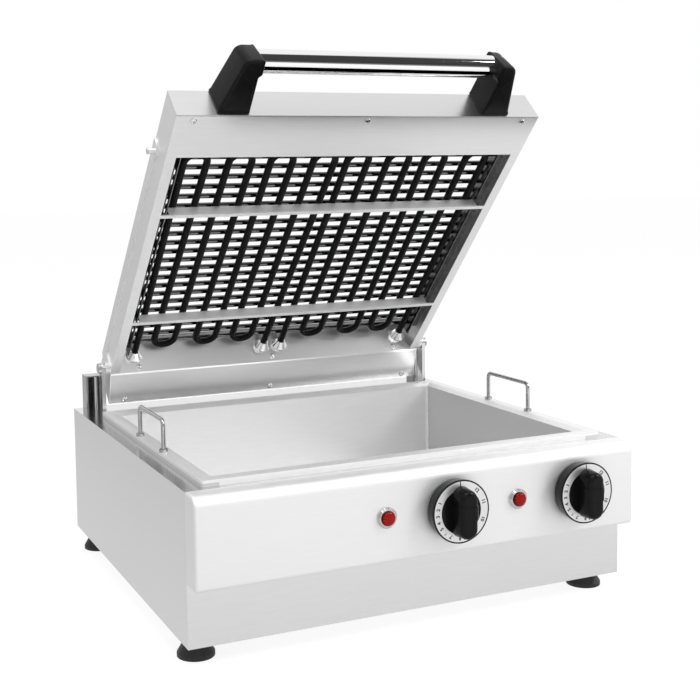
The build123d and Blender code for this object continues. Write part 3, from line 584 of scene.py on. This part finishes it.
def add_world(settings):
    """White to the camera. Mirrors see a white room with a dimmer left side and a dark corner at the
    right front, which ends between 53 and 59 degrees above the horizon. Plain light is even."""
    world = bpy.data.worlds.new("studio")
    bpy.context.scene.world = world
    world.use_nodes = True
    tree = world.node_tree
    tree.nodes.clear()
    way = parts_of(tree, coordinate(tree, "Generated"))
    overhead = ranged(tree, way["Z"], ROOM_OVERHEAD, interpolation="SMOOTHSTEP")
    front = ranged(tree, way["Y"], ROOM_FRONT, interpolation="SMOOTHSTEP")
    apart = computed(tree, "ABSOLUTE", computed(tree, "SUBTRACT", way["X"], CORNER_X))
    right = ranged(tree, apart, CORNER_WIDTH, interpolation="SMOOTHSTEP")
    corner = computed(tree, "MULTIPLY", front, right)
    room = ranged(tree, corner, target=(1.0, settings.dark_side))
    left = ranged(tree, way["X"], ROOM_LEFT, (1.0, settings.left_side), "SMOOTHSTEP")
    lit = computed(tree, "MAXIMUM", computed(tree, "MULTIPLY", room, left), overhead)
    path, mirror = ray_kinds(tree)
    plain = ranged(tree, path["Is Camera Ray"], target=(settings.ambient, 1.0))
    strength = new_node(tree, "Mix", {0: mirror, 2: plain, 3: lit}).outputs[0]
    background = new_node(tree, "Background", {"Color": (*WHITE, 1), "Strength": strength})
    new_node(tree, "OutputWorld", {"Surface": background.outputs[0]})


class GRILL_OT_stage(bpy.types.Operator):
    """Camera, floor, lights and world"""
    bl_idname = "grill.stage"
    bl_label = "Stage"

    def execute(self, context):
        settings = context.scene.grill_stage
        bpy.context.scene.view_settings.view_transform = "Standard"
        add_camera()
        add_floor(settings)
        add_world(settings)
        add_flag()
        add_light("key", place=(2.1, -1.7, 1.9), target=(0, 0, 0.2), extent=(0.9, 0.9),
                  power=settings.key)
        add_light("fill", place=(-1.2, -1.6, 2.4), target=(0, 0, 0.2), extent=(0.7, 0.7),
                  power=settings.fill)
        for name, x in (("spark_left", -0.18), ("spark_right", 0.34)):
            add_light(name, place=(x, -1.5, 2.1), target=(0, -0.2, 0.1), extent=(0.22, 0.22),
                      power=settings.spark)
        add_light("top", place=(-0.4, -0.72, 2.3), target=(0, 0, 0.1), extent=(1.2, 0.5),
                  power=settings.top)
        return {"FINISHED"}


# Finishes of the CAD nodes

class GRILL_OT_casing(bpy.types.Operator):
    """Finish the casing, its deck, posts, feet and inner parts"""
    bl_idname = "grill.casing"
    bl_label = "Casing"

    def execute(self, context):
        steel, black = context.scene.grill_steel, context.scene.grill_black
        sheet = sheet_steel("casing sheet", steel.casing, LINES_ALONG_X, base=steel.casing_roughness)
        paint(sheet, "front_panel", "rear_panel", "bottom_plate", "side_panel")
        # Painted light: the fascia is a lighter copy of the casing's colour, so that it looks more brightly
        # lit
        fascia = sheet_steel("fascia sheet painted lighter", steel.casing, LINES_ALONG_X, base=0.54, light=1.1, dark=1.06)
        paint(fascia, "control_fascia")
        # Painted shade: the deck is a darker copy of the casing's colour, so that it looks less lit
        deck = sheet_steel("deck sheet painted darker", steel.casing, LINES_ALONG_Y, base=steel.deck_roughness,
                           line=0.05, depth=0.02, light=0.86, dark=0.8)
        paint(deck, "deck_plate", "hinge_strap")
        # Painted reflection: the hinge posts are a much darker copy of the casing's colour, standing in for
        # the dark things their polished steel mirrors
        post = sheet_steel("post steel painted dark", steel.casing, LINES_ALONG_Z, base=0.08, line=0.05, smudge=0.04,
                           depth=0.02, light=0.5, dark=0.35)
        paint(post, "hinge_post")
        plated = sheet_steel("plated steel", steel.bright, EVEN_GRAIN, base=0.04, line=0.05, smudge=0.04,
                             depth=0.02, light=0.68, dark=0.5)
        paint(plated, "tie_rods", "pivot_bolts", "foot_studs", "lamp_bezel")
        rubber = moulding("foot rubber", black.rubber, worn=2.2, roughness=(0.38, 0.5), scale=1200.0,
                          depth=0.12)
        paint(rubber, "foot_front", "foot_rear")
        inner = moulding("inner moulding", WHITE, deep=0.03, worn=0.05, roughness=(0.4, 0.55),
                         scale=1500.0, depth=0.1)
        paint(inner, "lamp_holders", "terminal_block", "cable_gland", "regulator_body")
        return {"FINISHED"}


class GRILL_OT_pan(bpy.types.Operator):
    """Finish the water pan and its handles, and add its weld beads"""
    bl_idname = "grill.pan"
    bl_label = "Water pan"

    def execute(self, context):
        steel = context.scene.grill_steel
        # Painted light: the pan's colour is lighter than the casing's
        sheet = sheet_steel("pan sheet painted light and shade", steel.pan, (30, 500, 500), base=steel.pan_roughness, line=0.08,
                            smudge=0.06, depth=0.04, dark=0.93)
        # Painted shade on the pan's side walls
        paint_wall_shade(sheet, steel.pan_wall_painted_shade)
        paint(sheet, "water_pan")
        bright = sheet_steel("handle wire", steel.bright, (60, 60, 400), base=0.05, line=0.03,
                             smudge=0.03, depth=0.01, light=0.6, dark=0.5)
        paint(bright, "pan_handle")
        add_pan_welds(context.scene.grill_detail, sheet)
        return {"FINISHED"}


class GRILL_OT_heater_frame(bpy.types.Operator):
    """Finish the heater frame, elements, grate, handle tube and regulator shafts"""
    bl_idname = "grill.heater_frame"
    bl_label = "Heater frame"

    def execute(self, context):
        steel, black = context.scene.grill_steel, context.scene.grill_black
        color = steel.heater_frame
        # Painted light: the frame's colour is lighter than the casing's
        sheet = sheet_steel("frame sheet painted lighter", color, LINES_ALONG_X, base=steel.frame_roughness, line=0.08,
                            smudge=0.06, depth=0.04, dark=0.93)
        paint(sheet, "front_cover_plate", "side_member", "hinge_arm")
        # Painted shade: the front cap is a darker copy of the frame's colour, so that it looks less
        # brightly lit
        cap = sheet_steel("cap sheet painted darker", color, LINES_ALONG_X, base=0.24, smudge=0.04, depth=0.01,
                          light=0.76, dark=0.72)
        paint(cap, "front_cap")
        # Painted shade: the terminal cover and box are a darker copy of the frame's colour, so that they
        # look less lit
        cover = sheet_steel("cover sheet painted darker", color, LINES_ALONG_X, base=0.36, light=0.72, dark=0.66)
        paint(cover, "terminal_cover", "terminal_box")
        # Painted light: the rear plate is a lighter copy of the frame's colour, so that it looks brightly
        # lit under the lid
        rear = sheet_steel("rear sheet painted lighter", color, LINES_ALONG_X, base=0.24, light=1.02, dark=0.98)
        paint(rear, "rear_plate")
        bars = sheet_steel("cross bar sheet", color, (40, 300, 300), base=0.52, line=0.10, smudge=0.10,
                           depth=0.06, dark=0.9)
        paint(bars, "cross_bar")
        bright = sheet_steel("polished steel", steel.bright, BAR_LINES, base=0.03, line=0.03, smudge=0.02,
                             depth=0.01, dark=0.96)
        paint(bright, "handle_tube", "element_bushings", "element_terminals", "stop_pins",
              "regulator_shaft")
        # Painted reflection: the grate and rails get a dark colour in place of the dark surroundings their
        # polished steel mirrors
        dark = sheet_steel("grate steel painted dark", steel.grate, BAR_LINES, base=0.10, line=0.08, depth=0.02,
                           dark=0.5)
        paint(dark, "cooking_grate", "slotted_rail")
        element = moulding("oxidised sheath", black.element, worn=1.6, roughness=(0.16, 0.26),
                           scale=900.0, depth=0.08, specular=0.07)
        paint(element, "heating_element")
        return {"FINISHED"}


# Handle brackets

# Sizes are in millimetres, and a corner of the outline is given as its x, its s and its radius
BRACKET_LOW = 3.0
BRACKET_THICK = 40.0
BRACKET_RISE = 73.0
BRACKET_TILT = 8.0
BRACKET_TOP = {"left": (171.4, 523.0, 10.0), "right": (168.6, 522.6, 13.0)}
BRACKET_BASE = ((150.6, FRAME_LENGTH, 0.6), (188.4, FRAME_LENGTH, 1.5))
BRACKET_INSIDE = ((149.6, 523.0, 3.0), (148.8, 503.5, 1.2), (152.2, 499.5, 2.0))

# The rim narrows on the side that carries the tube, and at the base
TUBE_SIDE_X = 155.0
TUBE_SIDE_FADE = 4.0
TUBE_SIDE_RIM = 0.9
BASE_FADE = 6.0
BASE_SHARE = 0.15


def rounded_outline(corners, steps):
    """A closed (x, y) outline: each corner is an arc of its own radius, tangent to both its sides."""
    corners = np.asarray(corners, float)
    points = []
    for i, (x, y, radius) in enumerate(corners):
        here = np.array([x, y])
        before = corners[i - 1, :2] - here
        after = corners[(i + 1) % len(corners), :2] - here
        before /= np.linalg.norm(before)
        after /= np.linalg.norm(after)
        half = math.acos(np.clip(np.dot(before, after), -1, 1)) / 2
        reach = radius / math.tan(half)
        middle = here + (before + after) / np.linalg.norm(before + after) * radius / math.sin(half)
        start, end = here + before * reach - middle, here + after * reach - middle
        swing = math.atan2(start[0] * end[1] - start[1] * end[0], np.dot(start, end))
        turn = np.linspace(0, swing, steps)
        points.append(middle + np.stack([start[0] * np.cos(turn) - start[1] * np.sin(turn),
                                         start[0] * np.sin(turn) + start[1] * np.cos(turn)], axis=-1))
    return np.concatenate(points)


def resampled(outline, count):
    """The same closed outline with evenly spaced points."""
    closed = np.concatenate([outline, outline[:1]])
    length = np.concatenate([[0], np.cumsum(np.linalg.norm(np.diff(closed, axis=0), axis=1))])
    at = np.linspace(0, length[-1], count, endpoint=False)
    return np.stack([np.interp(at, length, closed[:, k]) for k in (0, 1)], axis=-1)


def inward(outline):
    """Unit normals of a counterclockwise outline, pointing into it."""
    along = np.roll(outline, -1, axis=0) - np.roll(outline, 1, axis=0)
    along /= np.linalg.norm(along, axis=1)[:, None]
    return np.stack([-along[:, 1], along[:, 0]], axis=-1)


def bracket_rings(top, rim):
    """Layers of a bracket from its lowest to its highest face. Where the rim's radius is r, the layer
    at the height h inside it is drawn in by r - sqrt(r^2 - (r - h)^2). The outline's rise is scaled
    with the layer's height, so that the end face leans."""
    outline = resampled(rounded_outline((*BRACKET_BASE, top, *BRACKET_INSIDE), steps=9), count=160)
    normal = inward(outline)
    tube_side = np.clip((TUBE_SIDE_X - outline[:, 0]) / TUBE_SIDE_FADE, 0, 1)
    from_base = np.clip((outline[:, 1] - FRAME_LENGTH) / BASE_FADE, BASE_SHARE, 1)
    radius = (rim * (1 - tube_side) + TUBE_SIDE_RIM * tube_side) * from_base
    layers = [(depth * radius, radius * (1 - np.sqrt(np.clip(1 - (1 - depth) ** 2, 0, 1))))
              for depth in 1 - np.cos(np.linspace(0, math.pi / 2, 7))]
    heights = [(BRACKET_LOW + up, pull) for up, pull in layers]
    heights += [(BRACKET_LOW + BRACKET_THICK - up, pull) for up, pull in reversed(layers)]
    rings = []
    for n, pull in heights:
        flat = outline + normal * pull[:, None]
        share = (n - BRACKET_LOW) / BRACKET_THICK
        rise = 1 - BRACKET_TILT / BRACKET_RISE * share
        s = FRAME_LENGTH + (flat[:, 1] - FRAME_LENGTH) * rise
        rings.append(np.stack([flat[:, 0], s, n + 0 * s], axis=-1))
    return np.array(rings)


# The raised line on the bracket's lower face, and how far its middle stands inside that face
RIDGE_LINE = ((155.6, 458.0), (154.6, 470.0), (155.4, 482.0), (158.6, 491.0), (164.0, 497.0),
              (171.0, 500.3))
RIDGE_RADIUS = 0.55
RIDGE_INSIDE = 0.15


def smooth_path(points, count):
    """A smooth open line through a few points: each coordinate is the quartic of the distance along
    the line that fits them best."""
    points = np.asarray(points, float)
    length = np.concatenate([[0], np.cumsum(np.linalg.norm(np.diff(points, axis=0), axis=1))])
    at = np.linspace(0, length[-1], count)
    return np.stack([np.polyval(np.polyfit(length, points[:, k], 4), at) for k in range(points.shape[1])],
                    axis=-1)


def pipe(path, radius, around, up=(0.0, 0.0, 1.0)):
    """Rings of a round bar along a path: at each point the ring is r cos t across and r sin t down,
    square to the path; radius may be an array along the path."""
    path = np.asarray(path, float)
    along = np.gradient(path, axis=0)
    along /= np.linalg.norm(along, axis=1)[:, None]
    across = np.cross(along, np.asarray(up, float))
    across /= np.linalg.norm(across, axis=1)[:, None]
    lift = np.cross(across, along)
    turn = np.linspace(0, 2 * math.pi, around, endpoint=False)
    radius = np.broadcast_to(np.asarray(radius, float), (len(path),))[:, None, None]
    return (path[:, None] + radius * (np.cos(turn)[None, :, None] * across[:, None]
                                      - np.sin(turn)[None, :, None] * lift[:, None]))


def mirrored(rings, side):
    """Rings for the right side, or their mirror image with the turn reversed so that faces stay out."""
    if side > 0:
        return rings
    flipped = rings[:, ::-1].copy()
    flipped[..., 0] *= -1
    return flipped


def ridge_rings():
    """The raised line: a bar whose radius at u from 0 to pi along it is R sin(u)^0.35, so it tapers at
    both ends."""
    line = smooth_path(RIDGE_LINE, 30)
    line = np.concatenate([line, np.full((len(line), 1), BRACKET_LOW + RIDGE_INSIDE)], axis=1)
    taper = RIDGE_RADIUS * np.sin(np.linspace(0.15, math.pi - 0.15, len(line))) ** 0.35
    return pipe(line, taper, 10)


class GRILL_OT_brackets(bpy.types.Operator):
    """Build the two moulded handle brackets"""
    bl_idname = "grill.brackets"
    bl_label = "Handle brackets"

    def execute(self, context):
        black = context.scene.grill_black
        material = moulding("bracket moulding", black.moulded, worn=1.8, roughness=(0.34, 0.46),
                            scale=1600.0, depth=0.10, specular=0.16)
        rim = context.scene.grill_detail.bracket_rim / MM
        ridge = ridge_rings()
        for name, side in SIDES.items():
            parts = []
            for part in (bracket_rings(BRACKET_TOP[name], rim), ridge):
                points, faces = ring_skin(mirrored(part, side) + np.array([HANDLE_OFFSET, 0, 0]))
                parts.append((on_lid(points), faces))
            piece = mesh_object("bracket_shell_" + name, *joined(parts))
            finished(piece, material, "heater_frame", "handle_black", "handle_bracket_" + name)
        return {"FINISHED"}


# Knobs and their print

# Each number's place on the dial, in degrees clockwise from the top
NUMBERS = (("1", 295.0), ("2", 280.5), ("3", 266.0), ("4", 251.0), ("5", 236.5), ("6", 222.0),
           ("7", 207.5), ("8", 183.5), ("9", 172.5), ("10", 113.6), ("11", 74.0), ("12", 43.0))
TICK_CLOCK = 358.0
TICK_RADIUS = 30.4 * MM

# How much the strokes of the type are fattened, as a share of its size
STROKE = 0.04


def label(text, height, thick):
    """Points and faces of a line of text, centred on the origin, its strokes fattened and extruded."""
    curve = bpy.data.curves.new("label", "FONT")
    curve.body = text
    curve.size = 1.0
    curve.offset = STROKE
    curve.extrude = 0.05
    source = add_object("label", curve)
    bpy.context.view_layer.update()
    mesh = bpy.data.meshes.new_from_object(source.evaluated_get(bpy.context.evaluated_depsgraph_get()))
    flat = np.empty(len(mesh.vertices) * 3)
    mesh.vertices.foreach_get("co", flat)
    flat = flat.reshape(-1, 3)
    faces = [list(polygon.vertices) for polygon in mesh.polygons]
    bpy.data.objects.remove(source)
    bpy.data.curves.remove(curve)
    bpy.data.meshes.remove(mesh)
    low, high = flat.min(axis=0), flat.max(axis=0)
    scale = height / (high[1] - low[1])
    flat = (flat - (low + high) / 2) * scale
    flat[:, 2] = np.where(flat[:, 2] > 0, thick, 0.0)
    return flat, faces


def bar(width, length, thick):
    """A flat mark in the plane of the print: a rectangle with corners rounded by 0.49 of its width."""
    places = ((1, -1), (1, 1), (-1, 1), (-1, -1))
    outline = rounded_outline([(x * width / 2, y * length / 2, width * 0.49) for x, y in places], 6)
    rings = [np.concatenate([outline, np.full((len(outline), 1), z)], axis=1) for z in (0.0, thick)]
    return ring_skin(np.array(rings))


def round_the_dial(points, radius, clock):
    """Print moved out along the dial's radius and turned clockwise from the top, its top outwards."""
    a = math.radians(clock)
    x, y, z = points[:, 0], points[:, 1] + radius, points[:, 2]
    return np.stack([x * math.cos(a) + y * math.sin(a), y * math.cos(a) - x * math.sin(a), z], axis=-1)


def facing_front(points, middle):
    """Points of a flat drawing, +Z towards the user, moved to a place on the front."""
    return np.asarray(middle) + np.stack([points[:, 0], -points[:, 2], points[:, 1]], axis=-1)


def add_dial_print(name, settings, ink):
    low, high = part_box("dial_ring_" + name)
    middle = ((low[0] + high[0]) / 2, low[1], (low[2] + high[2]) / 2)
    marks = [(*label(text, settings.digit_height, settings.proud), settings.digit_radius, clock)
             for text, clock in NUMBERS]
    marks.append((*bar(settings.tick_width, settings.tick_length, settings.proud), TICK_RADIUS, TICK_CLOCK))
    parts = [(facing_front(round_the_dial(points, radius, clock), middle), faces)
             for points, faces, radius, clock in marks]
    piece = mesh_object("dial_print_" + name, *joined(parts), smooth=False)
    finished(piece, ink, "knob_" + name, "knob_black")


class GRILL_OT_knobs(bpy.types.Operator):
    """Finish the knobs and print their dials"""
    bl_idname = "grill.knobs"
    bl_label = "Knobs"

    def execute(self, context):
        scene = context.scene
        knob = moulding("knob moulding", scene.grill_black.moulded, worn=1.6, roughness=(0.16, 0.26),
                        scale=1800.0, depth=0.04, specular=0.13)
        paint(knob, "knob_left", "knob_right")
        silver = sheet_steel("dial silver", WHITE, (500, 500, 500), base=0.34, depth=0.02, light=0.86,
                             dark=0.82)
        paint(silver, "dial_ring")
        ink = moulding("dial ink", WHITE, deep=0.01, worn=0.02, roughness=(0.4, 0.5), scale=3000.0,
                       depth=0.02)
        for name in SIDES:
            add_dial_print(name, scene.grill_print, ink)
        return {"FINISHED"}


# Lamps

# Radius and height of the lens over its seat, from its foot to its middle, in millimetres. The facets
# start at FACET_FOOT up the lens and fade out towards its middle.
LENS_PROFILE = ((0.0, 0.0), (7.7, 0.0), (8.3, 0.4), (8.35, 3.6), (8.1, 4.8), (7.4, 5.9), (6.2, 6.8),
                (4.9, 7.3), (4.6, 7.25), (4.2, 7.45), (2.4, 7.8), (0.6, 7.92))
FACET_FOOT = 3.6
FACET_FADE = 3.0
FACET_MIDDLE = 4.0
FACET_HEIGHT = 0.10


def lens_surface(facets):
    """Points, faces and UV of a lens. At the turn t a ring is raised by h cos(facets t), where h runs
    up to FACET_HEIGHT."""
    profile = np.array(LENS_PROFILE) * MM
    rings = lathe(profile, facets * 6)
    around = rings.shape[1]
    turn = np.linspace(0, 2 * math.pi, around, endpoint=False)
    fade = (np.clip((profile[:, 1] / MM - FACET_FOOT) / FACET_FADE, 0, 1)
            * np.clip(profile[:, 0] / MM / FACET_MIDDLE, 0, 1))
    rings[..., 2] += (np.cos(facets * turn) * FACET_HEIGHT * MM)[None, :] * fade[:, None]
    reach = np.concatenate([[0], np.cumsum(np.linalg.norm(np.diff(profile, axis=0), axis=1))])
    uv = np.stack(np.broadcast_arrays(np.arange(around)[None] / around,
                                      (reach / reach[-1])[:, None]), axis=-1).reshape(-1, 2)
    ends = [[0.5, 0.0], [0.5, 1.0]]
    return *ring_skin(rings), np.concatenate([uv, ends])


class GRILL_OT_lamps(bpy.types.Operator):
    """Build the two red lamp lenses"""
    bl_idname = "grill.lamps"
    bl_label = "Lamp lenses"

    def execute(self, context):
        black = context.scene.grill_black
        facets = context.scene.grill_detail.facets
        material = lens_red(black.lens_rim, black.lens_middle_with_painted_light, facets)
        points, faces, uv = lens_surface(facets)
        for name in SIDES:
            node = "lamp_lens_" + name
            low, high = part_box(node)
            middle = ((low[0] + high[0]) / 2, high[1], (low[2] + high[2]) / 2)
            piece = mesh_object("lens_" + name, placed(points, middle, (0, -1, 0)), faces, uv=uv)
            finished(piece, material, "casing", "lens_red", node)
        return {"FINISHED"}


# Screws

# Sizes are in millimetres
SCREW_HEAD = 4.0
SCREW_EDGE = 1.0
SCREW_RISE = 2.2
SCREW_SHANK = 1.8
SHORT_SHANK = 4.0
LONG_SHANK = 12.9
CROSS_HUB = 0.75
CROSS_ARM = 1.75

# Places on the heater frame: across it, on its leaning rear plate and sloping cover, in the brackets'
# feet, and through the outer walls
FRONT_ACROSS = (-212.5, 0.0, 212.5)
FRONT_INSET = 8.5
REAR_ACROSS = (-194.0, 0.0, 194.0)
REAR_LEAN = math.atan2(26.2, 40.3)
REAR_UP = 6.4
SLOPE_RUN = 39.0
SLOPE_DROP = 20.0
SLOPE_INSET = 5.1
FOOT_SCREW_X = 169.3
FOOT_SCREW_N = (12.5, 29.0)
FOOT_SCREW_INSET = 1.2
ARM_SCREW_OUT = 10.5
ARM_SCREW_S = 372.0
ARM_SCREW_N = 29.5


def screw_rings(length, recess):
    """A domed head with a cross recess on a shank. The head's top is the paraboloid
    z(r) = e + (h - e) (1 - (r / R)^2). At the turn t the recess's edge is at a + b |cos 2t|^6: rings
    inside it sink to the recess's floor, and rings outside it run out to the head's rim."""
    turn = np.linspace(0, 2 * math.pi, 64, endpoint=False)
    edge = CROSS_HUB + CROSS_ARM * np.abs(np.cos(2 * turn)) ** 6

    def dome(r):
        return SCREW_EDGE + (SCREW_RISE - SCREW_EDGE) * (1 - (r / SCREW_HEAD) ** 2)

    rings = [(0.3, -length), (SCREW_SHANK * 0.8, -length), (SCREW_SHANK, -length + 0.4),
             (SCREW_SHANK, 0.0), (SCREW_HEAD - 0.2, 0.0), (SCREW_HEAD, 0.25), (SCREW_HEAD, 0.9)]
    for share in (1.0, 0.75, 0.5, 0.25, 0.0):
        r = edge + (SCREW_HEAD * 0.97 - edge) * share
        rings.append((r, dome(r)))
    rings.append((edge * 0.93, dome(edge) - recess))
    rings.append((edge * 0.3, dome(edge) - recess * 1.1))
    return np.array([np.stack([r * np.cos(turn), r * np.sin(turn), z + 0 * turn], axis=-1)
                     for r, z in rings])


def screw_places():
    """Origin in (x, s, n) and axis in (s, n) of every short screw of the heater frame."""
    places = [((x, FRAME_LENGTH - FRONT_INSET, 0.0), (0.0, -1.0)) for x in FRONT_ACROSS]
    lean = (math.cos(REAR_LEAN), -math.sin(REAR_LEAN))
    up = (math.sin(REAR_LEAN) * REAR_UP, math.cos(REAR_LEAN) * REAR_UP)
    places += [((x, *up), lean) for x in REAR_ACROSS]
    slope = math.atan2(SLOPE_DROP, SLOPE_RUN)
    back = SLOPE_RUN * (1 - SLOPE_INSET / math.hypot(SLOPE_RUN, SLOPE_DROP))
    down = (math.sin(slope), -math.cos(slope))
    places += [((x, -back, -math.tan(slope) * back), down) for x in FRONT_ACROSS]
    places += [((HANDLE_OFFSET + side * FOOT_SCREW_X, FRAME_LENGTH - FOOT_SCREW_INSET, n), (-1.0, 0.0))
               for side in (-1, 1) for n in FOOT_SCREW_N]
    return places


class GRILL_OT_screws(bpy.types.Operator):
    """Build the heater frame's screws with a cross in each head"""
    bl_idname = "grill.screws"
    bl_label = "Screws"

    def execute(self, context):
        recess = context.scene.grill_detail.recess / MM
        material = sheet_steel("screw steel", context.scene.grill_steel.bright, EVEN_GRAIN, base=0.10,
                               line=0.08, smudge=0.06, depth=0.02, dark=0.85)
        parts = []
        points, faces = ring_skin(screw_rings(SHORT_SHANK, recess))
        for place, (ds, dn) in screw_places():
            parts.append((placed(points * MM, on_lid(place), ds * FORWARD + dn * OUTWARD), faces))
        points, faces = ring_skin(screw_rings(LONG_SHANK, recess))
        for side in SIDES.values():
            origin = on_lid((side * (FRAME_HALF + ARM_SCREW_OUT), ARM_SCREW_S, ARM_SCREW_N))
            parts.append((placed(points * MM, origin, (side, 0, 0), across=FORWARD), faces))
        piece = mesh_object("screw_set", *joined(parts))
        finished(piece, material, "heater_frame", "screw_steel", "frame_screws")
        return {"FINISHED"}


# Welds

# Sizes are in millimetres along the casing's own axes
PAN_HALF = 230.0
PAN_LENGTH = (33.0, 380.0)
PAN_HEIGHTS = (62.6, 166.6)
WELD_INSET = 0.6
WELD_STEP = 0.8 * MM
CASING_Y = -215.55
CASING_Z = 22.0

# Swell of a bead: share of its radius, wavelength, and how far the bead's number shifts the wave
WAVES = ((0.10, 3.1, 1.0), (0.09, 11.0, 2.3), (0.05, 5.3, 1.7))


def casing_point(x, y, z):
    """Row coordinates in metres of a point of the casing in millimetres."""
    return np.array([x, y + CASING_Y, z + CASING_Z]) * MM


def weld(start, end, radius, up, number):
    """A weld bead: a round bar whose radius at the distance d is r (1 + sum of a sin(2 pi d / w + p))."""
    length = np.linalg.norm(np.subtract(end, start))
    t = np.linspace(0, 1, int(length / WELD_STEP))
    path = np.asarray(start) + t[:, None] * np.subtract(end, start)
    ripple = sum(share * np.sin(2 * math.pi * t * length / (wave * MM) + shift * number)
                 for share, wave, shift in WAVES)
    return ring_skin(pipe(path, radius * (1 + ripple), 14, up))


def add_pan_welds(settings, material):
    """A bead up each corner of the pan."""
    low, high = PAN_HEIGHTS
    front, rear = PAN_LENGTH
    places = [(x, y) for x in (WELD_INSET - PAN_HALF, PAN_HALF - WELD_INSET)
              for y in (front + WELD_INSET, rear - WELD_INSET)]
    parts = [weld(casing_point(x, y, low), casing_point(x, y, high), settings.bead, (1, 0, 0), number)
             for number, (x, y) in enumerate(places, start=1)]
    piece = mesh_object("pan_weld_beads", *joined(parts))
    finished(piece, material, "water_pan", "pan_steel")


class GRILL_PT_panel(bpy.types.Panel):
    """Lists the grill's operators"""
    bl_idname = "GRILL_PT_panel"
    bl_label = "Water Grill"
    bl_space_type = "VIEW_3D"
    bl_region_type = "UI"
    bl_category = "Water Grill"

    def draw(self, context):
        for operator in OPERATORS:
            self.layout.operator(operator.bl_idname)


SETTINGS = {"grill_stage": GrillStage, "grill_steel": GrillSteel, "grill_black": GrillBlack,
            "grill_print": GrillPrint, "grill_detail": GrillDetail}
OPERATORS = (GRILL_OT_stage, GRILL_OT_casing, GRILL_OT_pan, GRILL_OT_heater_frame, GRILL_OT_brackets,
             GRILL_OT_knobs, GRILL_OT_lamps, GRILL_OT_screws)


def register():
    for item in (*SETTINGS.values(), *OPERATORS, GRILL_PT_panel):
        bpy.utils.register_class(item)
    for name, group in SETTINGS.items():
        setattr(bpy.types.Scene, name, PointerProperty(type=group))


def unregister():
    for name in SETTINGS:
        delattr(bpy.types.Scene, name)
    for item in reversed((*SETTINGS.values(), *OPERATORS, GRILL_PT_panel)):
        bpy.utils.unregister_class(item)


def corners(box):
    return [[float(value) for value in corner] for corner in box]


def main():
    register()
    bpy.ops.grill.stage()
    bpy.ops.grill.casing()
    bpy.ops.grill.pan()
    bpy.ops.grill.heater_frame()
    bpy.ops.grill.brackets()
    bpy.ops.grill.knobs()
    bpy.ops.grill.lamps()
    bpy.ops.grill.screws()


if __name__ == "__main__":
    main()
